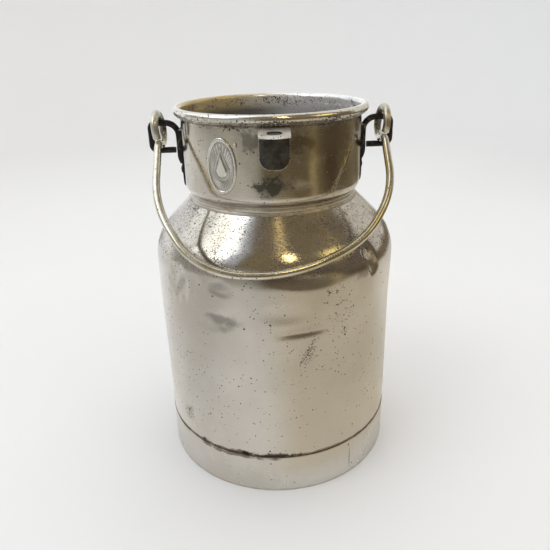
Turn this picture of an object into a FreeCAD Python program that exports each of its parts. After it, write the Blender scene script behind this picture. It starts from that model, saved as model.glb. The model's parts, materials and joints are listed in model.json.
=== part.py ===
import FreeCAD, Part
import math
import os

# Two-gallon dairy milk can: a drawn body with a conical breast, a straight collar
# with a wired rim, a foot hoop, a lock lug, an oval badge, and a rod bail that
# swings on two closed hooks. Millimetres, +Z up, origin on the floor under the
# can's axis, front of the can towards -Y, angles positive towards +X.

# Body and breast
body_radius = 105.0
body_wall = 1.0
breast_start = 193.2        # height where the straight wall ends
breast_round = 39.4         # radius of the shoulder
breast_slope = 45.0         # cone of the breast, from the horizontal normal
neck_inset = 3.5            # the collar's sleeve stands this far inside its wall
neck_sleeve = 4.3
neck_flange_short = 0.5     # the body's flange stops this far below the sleeve's top
neck_curve = 8.0            # height of the curve from the sleeve to the collar wall
neck_seam_spread = 1.1

# Foot
hoop_height = 36.5
hoop_wall = 1.3
hoop_proud = 0.6            # hoop stands this far outside the body
hoop_lap_angle = 31.0
hoop_lap_width = 14.0
hoop_lap_rise = 0.8
hoop_lap_margin = 3.0
hoop_seam_rise = 0.9
body_lift = 5.0             # body's lower edge above the floor
bottom_height = 10.0        # upper side of the bottom at its edge
bottom_wall = 1.0
bottom_dish = 4.0
bottom_bend = 3.0
bottom_seam_rise = 1.3

# Collar and rim
collar_radius = 75.0
collar_wall = 1.2
collar_height = 73.5        # from the sleeve's lower edge to the top of the rim
bead_radius = 3.4
curl_end = -118.0           # where the curl of the rim stops, in degrees
rim_seam_drop = 2.55
rim_seam_end = -75.0

# Lock lug
lug_width = 22.8
lug_wall = 2.0
lug_depth = 39.65           # from the top of the rim to the lug's lower edge
lug_corner = 9.0
shelf_gap = 0.5             # below the tinning of the rim
shelf_reach = 14.0
shelf_bulge = 2.0
shelf_droop = 15.0
slot_length = 10.0
slot_width = 4.8
slot_centre = 8.0

# Badge and stud
badge_angle = -31.7
badge_width = 26.0
badge_low_gap = 1.7          # above the curve of the collar
badge_high_gap = 17.0        # below the top of the rim
badge_wall = 0.9
badge_border = 2.2
badge_relief = 0.5
drop_radius = 5.2
drop_tip = 13.5
drop_shift = 3.5
stud_angle = -22.1
stud_depth = 22.25
stud_width = 2.6
stud_length = 4.2
stud_rise = 1.6

# Ears: strap, hook and rivets
strap_depth = 19.0
strap_tail = 5.3            # the strap ends this far below the start of the collar's curve
strap_width = 24.0
strap_thick = 2.4
strap_thin = 1.2
strap_corner = 9.0
hook_rod = 2.5
hook_gap = 0.2
hook_bend = 10.5
hook_reach = 25.6           # collar wall to the centre of the outer leg
hook_corner = 4.8
hook_depth = 14.15          # top of the rim to the pivot
hook_height = 22.4          # pivot to the lower bar
hook_end_gap = 0.8
hook_root_gap = 0.6         # between the leg's root and the lower rivet
rivet_radius = 2.0
rivet_head = 4.2
rivet_rise = 1.9
rivet_depth = 0.3           # the shank's head end is let this far into the strap
rivet_spread = 7.2
rivet_upper_drop = 17.35    # below the pivot
rivet_lower_rise = 8.2      # above the curve of the collar

# Bail
bail_rod = 3.15
bail_reach = 142.8          # pivot to the lowest part of the bow
eye_hole = 9.2
eye_play = 0.3
eye_offset = 17.8           # collar wall to the eye
eye_yaw = 7.0
eye_tip = 24.0              # angle between the eye's lowest point and its tip
neck_bend = 9.0
bow_left_shoulder = 61.3
bow_left_inset = 34.1
bow_left_rise = 2.4
bow_middle_shift = 10.1
bow_middle_drop = 1.6
bow_right_inset = 26.0
bow_right_rise = 25.6
bow_right_shoulder = 70.4
bow_share = 0.48            # share of the shorter run that each bend takes up
bail_rest_gap = 0.3

# Values that follow from the ones above
origin = FreeCAD.Vector(0, 0, 0)
up = FreeCAD.Vector(0, 0, 1)
along_x = FreeCAD.Vector(1, 0, 0)
slope = math.radians(breast_slope)
round_centre = body_radius - breast_round
hoop_outer = body_radius + hoop_proud
tuck_radius = hoop_outer - hoop_wall
collar_inner = collar_radius - collar_wall
neck_radius = collar_radius - neck_inset
sleeve_inner = neck_radius - collar_wall


def breast_z(radius, depth=0.0):
    """Height of the cone at a radius, on the surface that lies depth under it."""
    along = round_centre * math.cos(slope) + breast_start * math.sin(slope) + breast_round - depth
    return (along - radius * math.cos(slope)) / math.sin(slope)


neck_z = breast_z(sleeve_inner)
sleeve_top = neck_z + neck_sleeve
curve_top = sleeve_top + neck_curve
top_z = neck_z + collar_height
bead_z = top_z - bead_radius
bead_centre = collar_inner + bead_radius
pivot_z = top_z - hook_depth
eye_x = collar_radius + eye_offset
eye_mean = eye_hole + bail_rod
eye_drop = eye_hole - hook_rod - eye_play
curve_radius = (neck_curve ** 2 + neck_inset ** 2) / (2 * neck_inset)
curve_centre = collar_radius - curve_radius
rim_seam_low = bead_z - bead_radius - rim_seam_drop
shelf_z = rim_seam_low - shelf_gap
badge_low = curve_top + badge_low_gap
badge_height = top_z - badge_high_gap - badge_low
rivet_lower_z = curve_top + rivet_lower_rise
rivet_upper_z = pivot_z - rivet_upper_drop
strap_top = top_z - strap_depth


def flat_point(a, b):
    return FreeCAD.Vector(a, 0, b)


def line(start, end):
    return Part.LineSegment(flat_point(*start), flat_point(*end)).toShape()


def arc(start, middle, end):
    return Part.Arc(flat_point(*start), flat_point(*middle), flat_point(*end)).toShape()


def on_circle(centre, radius, degrees):
    turn = math.radians(degrees)
    return (centre[0] + radius * math.cos(turn), centre[1] + radius * math.sin(turn))


def bend(centre, radius, first, last):
    """Arc of a circle between two angles."""
    points = [on_circle(centre, radius, a) for a in (first, (first + last) / 2, last)]
    return arc(*points)


def chain(points):
    return [line(points[i], points[i + 1]) for i in range(len(points) - 1)]


def section(edges):
    return Part.Face(Part.Wire(edges))


def spin(edges, degrees=360.0):
    return section(edges).revolve(origin, up, degrees)


def tube(inner, outer, low, high):
    ring = Part.makeCylinder(outer, high - low, FreeCAD.Vector(0, 0, low))
    return ring.cut(Part.makeCylinder(inner, high - low, FreeCAD.Vector(0, 0, low)))


def turned(shape, degrees):
    copy = shape.copy()
    copy.rotate(origin, up, degrees)
    return copy


def mirrored(shape):
    return shape.mirror(origin, along_x)


def body_shell():
    """Straight wall tucked inside the hoop, rounded shoulder, cone and neck flange."""
    flange_top = sleeve_top - neck_flange_short
    shoulder = (round_centre, breast_start)
    inner_wall = body_radius - body_wall
    neck_inner = sleeve_inner - body_wall
    outer = chain([(tuck_radius, body_lift), (tuck_radius, hoop_height),
                   (body_radius, hoop_height + hoop_seam_rise), (body_radius, breast_start)])
    outer.append(bend(shoulder, breast_round, 0, breast_slope))
    outer += chain([on_circle(shoulder, breast_round, breast_slope), (sleeve_inner, neck_z),
                    (sleeve_inner, flange_top), (neck_inner, flange_top),
                    (neck_inner, breast_z(neck_inner, body_wall)),
                    on_circle(shoulder, breast_round - body_wall, breast_slope)])
    outer.append(bend(shoulder, breast_round - body_wall, breast_slope, 0))
    outer += chain([(inner_wall, breast_start), (inner_wall, hoop_height + hoop_seam_rise),
                    (tuck_radius - body_wall, hoop_height), (tuck_radius - body_wall, body_lift),
                    (tuck_radius, body_lift)])
    return spin(outer)


def base_hoop():
    """Foot strip round the body, with its soldered end lapped over its start."""
    strip = tube(tuck_radius, hoop_outer, 0, hoop_height)
    span = math.degrees(hoop_lap_width / hoop_outer)
    low = hoop_lap_margin
    high = hoop_height - hoop_lap_margin
    half = hoop_lap_rise / 2
    lap = spin(chain([(hoop_outer - half, low), (hoop_outer, low), (hoop_outer + hoop_lap_rise, low + half),
                      (hoop_outer + hoop_lap_rise, high - half), (hoop_outer, high),
                      (hoop_outer - half, high), (hoop_outer - half, low)]), span)
    return strip.fuse(turned(lap, hoop_lap_angle - 90.0 - span / 2)).removeSplitter()


def hoop_seam():
    """Solder run that fills the step above the hoop."""
    return spin(chain([(tuck_radius, hoop_height), (hoop_outer, hoop_height),
                       (body_radius, hoop_height + hoop_seam_rise), (tuck_radius, hoop_height)]))


def bottom_plate():
    """Dished disc with a flange turned down inside the body."""
    edge = tuck_radius - body_wall
    flat = edge - bottom_bend
    bend_z = bottom_height - bottom_bend
    sag = (flat ** 2 + bottom_dish ** 2) / (2 * bottom_dish)

    def dish(radius, depth):
        return bottom_height - depth + bottom_dish - (sag - math.sqrt(sag ** 2 - radius ** 2))

    edges = [line((edge, body_lift), (edge, bend_z))]
    edges.append(bend((flat, bend_z), bottom_bend, 0, 90))
    edges.append(arc((flat, bottom_height), (flat / 2, dish(flat / 2, 0)), (0, dish(0, 0))))
    edges.append(line((0, dish(0, 0)), (0, dish(0, bottom_wall))))
    edges.append(arc((0, dish(0, bottom_wall)), (flat / 2, dish(flat / 2, bottom_wall)),
                     (flat, bottom_height - bottom_wall)))
    edges.append(bend((flat, bend_z), bottom_bend - bottom_wall, 90, 0))
    edges += chain([(edge - bottom_wall, bend_z), (edge - bottom_wall, body_lift), (edge, body_lift)])
    return spin(edges)


def bottom_seam():
    """Solder in the groove between the bottom's bend and the wall."""
    edge = tuck_radius - body_wall
    centre = (edge - bottom_bend, bottom_height - bottom_bend)
    low = on_circle(centre, bottom_bend, 20)
    high = on_circle(centre, bottom_bend, 80)
    edges = [bend(centre, bottom_bend, 20, 80)]
    edges += chain([high, (edge, bottom_height + bottom_seam_rise), (edge, low[1]), low])
    return spin(edges)


def neck_collar():
    """Straight collar: sleeve over the neck flange, and a rim curled round a wire."""
    centre = (bead_centre, bead_z)
    curve = (curve_centre, curve_top)
    inner_turn = math.degrees(math.acos((sleeve_inner - curve_centre) / (curve_radius - collar_wall)))
    outer_turn = math.degrees(math.acos((neck_radius - curve_centre) / curve_radius))
    wire = bead_radius - collar_wall
    edges = chain([(sleeve_inner, neck_z), (neck_radius, neck_z), (neck_radius, sleeve_top)])
    edges.append(bend(curve, curve_radius, -outer_turn, 0))
    edges.append(line((collar_radius, curve_top), (collar_radius, bead_z)))
    edges.append(bend(centre, wire, 180, curl_end))
    edges.append(line(on_circle(centre, wire, curl_end), on_circle(centre, bead_radius, curl_end)))
    edges.append(bend(centre, bead_radius, curl_end, 180))
    edges.append(line((collar_inner, bead_z), (collar_inner, curve_top)))
    edges.append(bend(curve, curve_radius - collar_wall, 0, -inner_turn))
    edges.append(line(on_circle(curve, curve_radius - collar_wall, -inner_turn), (sleeve_inner, neck_z)))
    return spin(edges)


def rim_wire():
    return Part.makeTorus(bead_centre, bead_radius - collar_wall, FreeCAD.Vector(0, 0, bead_z))


def rim_seam():
    """Tinning that closes the curl of the rim against the collar."""
    centre = (bead_centre, bead_z)
    low = (collar_radius, rim_seam_low)
    tip = on_circle(centre, bead_radius, rim_seam_end)
    inner = on_circle(centre, bead_radius, curl_end)
    edges = [line(low, tip), bend(centre, bead_radius, rim_seam_end, curl_end)]
    edges += chain([inner, (collar_radius, inner[1]), low])
    return spin(edges)


def neck_seam():
    """Solder fillet under the sleeve, on the cone of the breast."""
    foot = neck_radius + neck_seam_spread
    return spin(chain([(sleeve_inner, neck_z), (foot, breast_z(foot)), (neck_radius, neck_z),
                       (sleeve_inner, neck_z)]))


def front_plate(edges, inner, outer):
    """Piece of a tube behind an outline that is drawn on the front, in X and Z."""
    face = section(edges)
    face.translate(FreeCAD.Vector(0, -outer - 5, 0))
    box = face.BoundBox
    shell = tube(inner, outer, box.ZMin - 1, box.ZMax + 1)
    return shell.common(face.extrude(FreeCAD.Vector(0, outer, 0)))


def lock_lug():
    """Curved plate with a drooping shelf; a slot in the shelf takes the lid's hasp."""
    half = lug_width / 2
    low = top_z - lug_depth
    high = shelf_z - lug_wall / 2
    corner = half - lug_corner
    outline = [line((-half, high), (-half, low + lug_corner))]
    outline.append(bend((-corner, low + lug_corner), lug_corner, 180, 270))
    outline.append(line((-corner, low), (corner, low)))
    outline.append(bend((corner, low + lug_corner), lug_corner, -90, 0))
    outline += chain([(half, low + lug_corner), (half, high), (-half, high)])
    plate = front_plate(outline, collar_radius, collar_radius + lug_wall)

    root = lug_width ** 2 / collar_radius
    side = shelf_reach - shelf_bulge
    top_view = chain([(-half, side), (-half, -root), (half, -root), (half, side)])
    top_view.append(arc((half, side), (0, shelf_reach), (-half, side)))
    face = section(top_view)
    shelf = face.extrude(FreeCAD.Vector(0, lug_wall, 0))
    end = (slot_length - slot_width) / 2
    radius = slot_width / 2
    slot = [line((-end, slot_centre - radius), (end, slot_centre - radius))]
    slot.append(bend((end, slot_centre), radius, -90, 90))
    slot.append(line((end, slot_centre + radius), (-end, slot_centre + radius)))
    slot.append(bend((-end, slot_centre), radius, 90, 270))
    shelf = shelf.cut(section(slot).extrude(FreeCAD.Vector(0, lug_wall, 0)))
    # The top view is drawn in X and Z: tip it forwards, then let it droop.
    shelf.rotate(origin, along_x, 90.0)
    shelf.rotate(origin, along_x, shelf_droop)
    shelf.translate(FreeCAD.Vector(0, -collar_radius, shelf_z - lug_wall))
    shelf = shelf.cut(tube(collar_inner - root, collar_radius, 0, top_z))
    return shelf.fuse(plate).removeSplitter()


def oval(width, height, z):
    shape = Part.Ellipse(FreeCAD.Vector(0, 0, 0), height / 2, width / 2).toShape()
    shape.rotate(origin, along_x, 90.0)
    shape.rotate(origin, FreeCAD.Vector(0, 1, 0), 90.0)
    shape.translate(FreeCAD.Vector(0, 0, z))
    return [shape]


def badge():
    """Oval plate with a raised border and a plain raised drop."""
    middle = badge_low + badge_height / 2
    face = collar_radius + badge_wall
    raised = face + badge_relief
    plate = front_plate(oval(badge_width, badge_height, middle), collar_radius, face)
    border = front_plate(oval(badge_width, badge_height, middle), collar_radius, raised)
    inside = oval(badge_width - 2 * badge_border, badge_height - 2 * badge_border, middle)
    border = border.cut(front_plate(inside, collar_inner, raised + 1))
    centre = (0, middle - drop_shift)
    side = math.degrees(math.asin(drop_radius / drop_tip))
    right = on_circle(centre, drop_radius, 90 - (90 - side))
    left = on_circle(centre, drop_radius, 180 - side)
    tip = (0, centre[1] + drop_tip)
    drop = [arc(left, (0, centre[1] - drop_radius), right), line(right, tip), line(tip, left)]
    relief = front_plate(drop, collar_radius, raised)
    return turned(plate.fuse([border, relief]).removeSplitter(), badge_angle)


def badge_stud():
    """Small raised stud beside the badge."""
    middle = top_z - stud_depth
    half = stud_width / 2
    end = (stud_length - stud_width) / 2
    outline = [line((half, middle - end), (half, middle + end))]
    outline.append(bend((0, middle + end), half, 0, 180))
    outline.append(line((-half, middle + end), (-half, middle - end)))
    outline.append(bend((0, middle - end), half, 180, 360))
    return turned(front_plate(outline, collar_radius, collar_radius + stud_rise), stud_angle)


def strap():
    """Right-hand strap: thick at the top, thin where it follows the collar's curve."""
    high = strap_top
    curve = (curve_centre, curve_top)
    inner_turn = math.degrees(math.asin(strap_tail / curve_radius))
    outer_curve = curve_radius + strap_thin
    edges = [line((collar_radius, high), (collar_radius, curve_top))]
    edges.append(bend(curve, curve_radius, 0, -inner_turn))
    edges.append(line(on_circle(curve, curve_radius, -inner_turn), on_circle(curve, outer_curve, -inner_turn)))
    edges.append(bend(curve, outer_curve, -inner_turn, 0))
    edges += chain([(collar_radius + strap_thin, curve_top), (collar_radius + strap_thick, high),
                    (collar_radius, high)])
    span = math.degrees(strap_width / collar_radius)
    band = turned(spin(edges, span), -span / 2)
    half = strap_width / 2
    side = half - strap_corner
    foot = on_circle(curve, curve_radius, -inner_turn)[1] - strap_thin
    outline = chain([(half, foot + strap_corner), (half, high + 1), (-half, high + 1),
                     (-half, foot + strap_corner)])
    outline.append(bend((-side, foot + strap_corner), strap_corner, 180, 270))
    outline.append(line((-side, foot), (side, foot)))
    outline.append(bend((side, foot + strap_corner), strap_corner, -90, 0))
    window = section(outline).extrude(FreeCAD.Vector(0, 2 * collar_radius, 0))
    return band.common(turned(window, -90.0))


def hook():
    """Right-hand hook: up from the strap, out, down, and back in under the eye."""
    leg = collar_radius + hook_gap + hook_rod
    outer = collar_radius + hook_reach
    bar = pivot_z - hook_height
    root = rivet_lower_z + rivet_head + hook_root_gap + hook_rod
    end = leg + hook_rod + hook_end_gap
    path = [line((leg, root), (leg, pivot_z - hook_bend))]
    path.append(bend((leg + hook_bend, pivot_z - hook_bend), hook_bend, 180, 90))
    path.append(line((leg + hook_bend, pivot_z), (outer - hook_corner, pivot_z)))
    path.append(bend((outer - hook_corner, pivot_z - hook_corner), hook_corner, 90, 0))
    path.append(line((outer, pivot_z - hook_corner), (outer, bar + hook_corner)))
    path.append(bend((outer - hook_corner, bar + hook_corner), hook_corner, 0, -90))
    path.append(line((outer - hook_corner, bar), (end, bar)))
    circle = Part.makeCircle(hook_rod, flat_point(leg, root), up)
    rod = Part.Wire(path).makePipeShell([Part.Wire([circle])], True, False)
    tip = Part.makeSphere(hook_rod, flat_point(leg, root))
    return rod.fuse(tip)


def rivet_places():
    """Angle from the ear's middle and height of each rivet."""
    side = math.degrees(math.asin(rivet_spread / collar_radius))
    return [(-side, rivet_upper_z), (side, rivet_upper_z), (0.0, rivet_lower_z)]


def rivet_shanks():
    inner = collar_inner - rivet_rise
    length = collar_wall + strap_thick + 2 * rivet_rise
    shanks = []
    for angle, z in rivet_places():
        pin = Part.makeCylinder(rivet_radius, length, FreeCAD.Vector(inner, 0, z), along_x)
        shanks.append(turned(pin, angle))
    return shanks


def dome(base):
    """Spherical cap on the X axis, with its flat side at base."""
    ball = (rivet_head ** 2 + rivet_rise ** 2) / (2 * rivet_rise)
    cap = Part.makeSphere(ball, FreeCAD.Vector(base - ball + rivet_rise, 0, 0))
    room = Part.makeBox(ball, 2 * ball, 2 * ball, FreeCAD.Vector(base, -ball, -ball))
    return cap.common(room)


def rivets(plates):
    """Domed rivets through strap and collar, flush with the collar's inside."""
    solids = []
    lean = (strap_thick - strap_thin) / (strap_top - curve_top)
    bore = tube(collar_inner / 2, collar_inner, curve_top, top_z)
    for angle, z in rivet_places():
        outside = collar_radius + strap_thin + lean * (z - curve_top) - rivet_depth
        start = collar_inner - rivet_rise
        shank = Part.makeCylinder(rivet_radius, outside + rivet_depth - start,
                                  FreeCAD.Vector(start, 0, 0), along_x)
        body = shank.fuse(dome(outside))
        body.translate(FreeCAD.Vector(0, 0, z))
        solids.append(turned(body, angle).cut(plates + [bore]))
    return Part.makeCompound([s for body in solids for s in body.Solids])


def bow_corners():
    """Corners of the bow in its own plane: across, and down from the pivot."""
    return [(-eye_x, bail_reach - bow_left_shoulder),
            (-eye_x + bow_left_inset, bail_reach - bow_left_rise),
            (bow_middle_shift, bail_reach + bow_middle_drop),
            (eye_x - bow_right_inset, bail_reach - bow_right_rise),
            (eye_x, bail_reach - bow_right_shoulder)]


def rounded_route(points):
    """Straight runs joined by tangent arcs as large as the runs allow."""
    corners = [flat_point(*p) for p in points]
    edges = []
    last = corners[0]
    for i in range(1, len(corners) - 1):
        before = corners[i - 1] - corners[i]
        after = corners[i + 1] - corners[i]
        cut = bow_share * min(before.Length, after.Length)
        first = corners[i] + before.normalize() * cut
        second = corners[i] + after.normalize() * cut
        half = (math.pi - before.getAngle(after)) / 2
        radius = cut / math.tan(half)
        inward = (before + after).normalize()
        middle = corners[i] + inward * (radius / math.cos(half) - radius)
        edges.append(Part.LineSegment(last, first).toShape())
        edges.append(Part.Arc(first, middle, second).toShape())
        last = second
    edges.append(Part.LineSegment(last, corners[-1]).toShape())
    return edges


def neck_start():
    """Distance below the pivot where the shank begins to bend into the eye."""
    return eye_drop + math.sqrt(eye_mean ** 2 + 2 * neck_bend * eye_mean)


def eye_edges(side):
    """Eye and neck on one side, from the tip to the top of the shank, drawn in Y and Z."""
    low = pivot_z - neck_start()
    centre = (0, pivot_z - eye_drop)
    neck = (neck_bend, low)
    join = math.degrees(math.atan2(neck_bend, neck_start() - eye_drop))
    ring = bend(centre, eye_mean, 270 - eye_tip, join - 90)
    throat = bend(neck, neck_bend, 90 + join, 180)
    placed = []
    for edge in (ring, throat):
        edge.rotate(origin, up, 90.0)
        edge.rotate(origin, up, side * eye_yaw)
        edge.translate(FreeCAD.Vector(side * eye_x, 0, 0))
        placed.append(edge)
    return placed


def bow_edges():
    start = neck_start()
    points = [(-eye_x, start)] + bow_corners() + [(eye_x, start)]
    return rounded_route([(x, pivot_z - down) for x, down in points])


def breast_gap(radius, z):
    """Distance from the outside of the body and breast."""
    rise = z - breast_start
    if rise <= 0:
        return radius - body_radius
    out = radius - round_centre
    if math.atan2(rise, out) < slope:
        return math.hypot(out, rise) - breast_round
    return out * math.cos(slope) + rise * math.sin(slope) - breast_round


def rest_tilt():
    """Angle from straight down at which the bow lies on the breast."""
    points = []
    for edge in bow_edges():
        points += edge.discretize(40)

    def nearest(tilt):
        gaps = []
        for p in points:
            down = pivot_z - p.z
            y = -down * math.sin(tilt)
            gaps.append(breast_gap(math.hypot(p.x, y), pivot_z - down * math.cos(tilt)))
        return min(gaps)

    low, high = 0.0, math.pi / 2
    for _ in range(40):
        middle = (low + high) / 2
        if nearest(middle) < bail_rod + bail_rest_gap:
            low = middle
        else:
            high = middle
    return math.degrees(high)


def bail(tilt):
    """One rod: left eye, shank, bow, shank and right eye, resting on the breast."""
    left = eye_edges(-1)
    right = eye_edges(1)
    path = Part.Wire(Part.__sortEdges__(left + bow_edges() + right))
    first = path.OrderedEdges[0]
    start = first.valueAt(first.FirstParameter)
    way = first.tangentAt(first.FirstParameter)
    circle = Part.makeCircle(bail_rod, start, way)
    rod = path.makePipeShell([Part.Wire([circle])], True, False)
    rod.rotate(flat_point(0, pivot_z), along_x, -tilt)
    return rod


def build():
    tilt = rest_tilt()
    shanks = rivet_shanks()
    left_shanks = [mirrored(s) for s in shanks]
    collar = neck_collar().cut(shanks + left_shanks)
    ear = strap().fuse(hook()).cut(shanks).cut(tube(collar_inner, collar_radius, curve_top, bead_z))
    ear = ear.removeSplitter()
    fixings = rivets([collar, ear])
    return {
        "body_shell": body_shell(),
        "base_hoop": base_hoop(),
        "hoop_seam": hoop_seam(),
        "bottom_plate": bottom_plate(),
        "bottom_seam": bottom_seam(),
        "neck_collar": collar,
        "neck_seam": neck_seam(),
        "rim_wire": rim_wire(),
        "rim_seam": rim_seam(),
        "lock_lug": lock_lug(),
        "badge": badge(),
        "badge_stud": badge_stud(),
        "ear_right": ear,
        "ear_left": mirrored(ear),
        "ear_right_rivets": fixings,
        "ear_left_rivets": mirrored(fixings),
        "bail": bail(tilt),
    }, tilt


os.makedirs("parts", exist_ok=True)
nodes, tilt = build()
for name, shape in nodes.items():
    shape.exportStep("parts/" + name + ".step")
    print(name, "solids", len(shape.Solids), "valid", shape.isValid(), "volume", round(shape.Volume, 1))
print("top", round(top_z, 3), "pivot", round(pivot_z, 3), "bail tilt", round(tilt, 3))
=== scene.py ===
import bpy
import bmesh
import json
import math
from mathutils import Matrix, Vector, noise


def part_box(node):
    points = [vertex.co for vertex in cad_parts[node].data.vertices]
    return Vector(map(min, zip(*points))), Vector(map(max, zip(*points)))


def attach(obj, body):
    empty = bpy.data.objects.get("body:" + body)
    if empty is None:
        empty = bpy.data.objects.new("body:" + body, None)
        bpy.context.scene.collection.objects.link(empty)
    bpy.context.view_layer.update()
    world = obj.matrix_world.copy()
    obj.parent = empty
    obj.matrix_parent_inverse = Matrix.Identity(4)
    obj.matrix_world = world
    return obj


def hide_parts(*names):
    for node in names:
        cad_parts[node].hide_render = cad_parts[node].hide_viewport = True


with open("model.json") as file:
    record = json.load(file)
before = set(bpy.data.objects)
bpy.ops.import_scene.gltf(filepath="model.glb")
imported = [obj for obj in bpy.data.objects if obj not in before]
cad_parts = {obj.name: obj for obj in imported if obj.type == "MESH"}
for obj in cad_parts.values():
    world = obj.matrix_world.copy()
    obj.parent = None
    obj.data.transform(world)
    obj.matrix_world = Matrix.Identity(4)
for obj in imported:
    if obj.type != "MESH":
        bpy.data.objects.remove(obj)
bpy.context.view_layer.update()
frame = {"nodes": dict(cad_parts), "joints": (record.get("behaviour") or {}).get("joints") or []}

nodes = frame["nodes"]
mm = 0.001
full = 2 * math.pi


# places taken from the frame
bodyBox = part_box("body_shell")
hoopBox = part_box("base_hoop")
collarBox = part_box("neck_collar")
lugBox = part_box("lock_lug")
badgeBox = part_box("badge")
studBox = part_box("badge_stud")
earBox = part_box("ear_right")
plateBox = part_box("bottom_plate")
bailJoint = frame["joints"][0]
pivot = Vector(bailJoint["pos_m"])

bodyRadius = bodyBox[1].x
hoopRadius = hoopBox[1].x
hoopTop = hoopBox[1].z
topZ = collarBox[1].z
neckZ = collarBox[0].z


# small helpers
def linkObject(name, mesh):
    piece = bpy.data.objects.new(name, mesh)
    bpy.context.scene.collection.objects.link(piece)
    return piece


def arcPoints(centre, radius, first, last, steps):
    points = []
    for i in range(steps + 1):
        turn = math.radians(first + (last - first) * i / steps)
        points.append((centre[0] + radius * math.cos(turn), centre[1] + radius * math.sin(turn)))
    return points


def linePoints(start, end, step):
    count = max(1, round(math.dist(start, end) / step))
    return [(start[0] + (end[0] - start[0]) * i / count, start[1] + (end[1] - start[1]) * i / count)
            for i in range(count + 1)]


def joinRuns(*runs):
    points = []
    for run in runs:
        for p in run:
            if not points or math.dist(points[-1], p) > 1e-6:
                points.append(p)
    return points


def tidyMesh(mesh, merge=1e-6):
    work = bmesh.new()
    work.from_mesh(mesh)
    bmesh.ops.remove_doubles(work, verts=work.verts, dist=merge)
    bmesh.ops.dissolve_degenerate(work, edges=work.edges, dist=1e-7)
    bmesh.ops.recalc_face_normals(work, faces=work.faces)
    work.to_mesh(mesh)
    work.free()
    mesh.shade_smooth()


def smoothStep(low, high, value):
    t = min(1.0, max(0.0, (value - low) / (high - low)))
    return t * t * (3 - 2 * t)


def frontAngle(co):
    # degrees from the front, positive towards +X
    return math.degrees(math.atan2(co.x, -co.y))


def onCan(degrees, radius, z):
    turn = math.radians(degrees)
    return Vector((radius * math.sin(turn), -radius * math.cos(turn), z))


# Geometry Nodes
def startTree(name, inputs):
    tree = bpy.data.node_groups.new(name, "GeometryNodeTree")
    tree.is_modifier = True
    tree.interface.new_socket("Geometry", in_out="INPUT", socket_type="NodeSocketGeometry")
    for label, kind, value in inputs:
        socket = tree.interface.new_socket(label, in_out="INPUT", socket_type="NodeSocket" + kind)
        if value is not None:
            socket.default_value = value
    tree.interface.new_socket("Material", in_out="INPUT", socket_type="NodeSocketMaterial")
    tree.interface.new_socket("Geometry", in_out="OUTPUT", socket_type="NodeSocketGeometry")
    return tree, tree.nodes.new("NodeGroupInput"), tree.nodes.new("NodeGroupOutput")


def addNode(tree, kind, settings=None, **links):
    node = tree.nodes.new(kind)
    for key, value in (settings or {}).items():
        setattr(node, key, value)
    for key, value in links.items():
        socket = node.inputs[int(key[1:])] if key[0] == "i" and key[1:].isdigit() else node.inputs[key]
        if isinstance(value, bpy.types.NodeSocket):
            tree.links.new(value, socket)
        else:
            socket.default_value = value
    return node


def mathNode(tree, operation, first, second=0.0):
    return addNode(tree, "ShaderNodeMath", {"operation": operation}, i0=first, i1=second).outputs[0]


def vectorNode(tree, operation, **links):
    return addNode(tree, "ShaderNodeVectorMath", {"operation": operation}, **links)


def times(tree, first, second):
    return mathNode(tree, "MULTIPLY", first, second)


def plus(tree, first, second):
    return mathNode(tree, "ADD", first, second)


def minus(tree, first, second):
    return mathNode(tree, "SUBTRACT", first, second)


def crossLength(tree, first, second):
    # length of the slanting side over two square ones
    return mathNode(tree, "SQRT", plus(tree, times(tree, first, first), times(tree, second, second)))


def endTree(tree, groupIn, groupOut, geometry):
    smooth = addNode(tree, "GeometryNodeSetShadeSmooth", None, Geometry=geometry)
    real = addNode(tree, "GeometryNodeRealizeInstances", None, Geometry=smooth.outputs[0])
    paint = addNode(tree, "GeometryNodeSetMaterial", None, Geometry=real.outputs[0],
                    Material=groupIn.outputs["Material"])
    tree.links.new(paint.outputs[0], groupOut.inputs[0])


def addWaver(tree, groupIn, geometry):
    # moves each point along its normal by seeded noise: the hand-made unevenness of old metal
    place = addNode(tree, "GeometryNodeInputPosition")
    ripple = addNode(tree, "ShaderNodeTexNoise", {"noise_dimensions": "4D"}, Vector=place.outputs[0],
                     W=groupIn.outputs["Seed"], Scale=groupIn.outputs["Wave Scale"], Detail=2.0)
    level = minus(tree, ripple.outputs[0], 0.5)
    lift = times(tree, level, groupIn.outputs["Waver"])
    normal = addNode(tree, "GeometryNodeInputNormal")
    push = vectorNode(tree, "SCALE", i0=normal.outputs[0], Scale=lift)
    moved = addNode(tree, "GeometryNodeSetPosition", None, Geometry=geometry, Offset=push.outputs[0])
    return moved.outputs[0]


waverInputs = [("Waver", "Float", 0.0), ("Wave Scale", "Float", 30.0), ("Seed", "Float", 1.0)]


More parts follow.
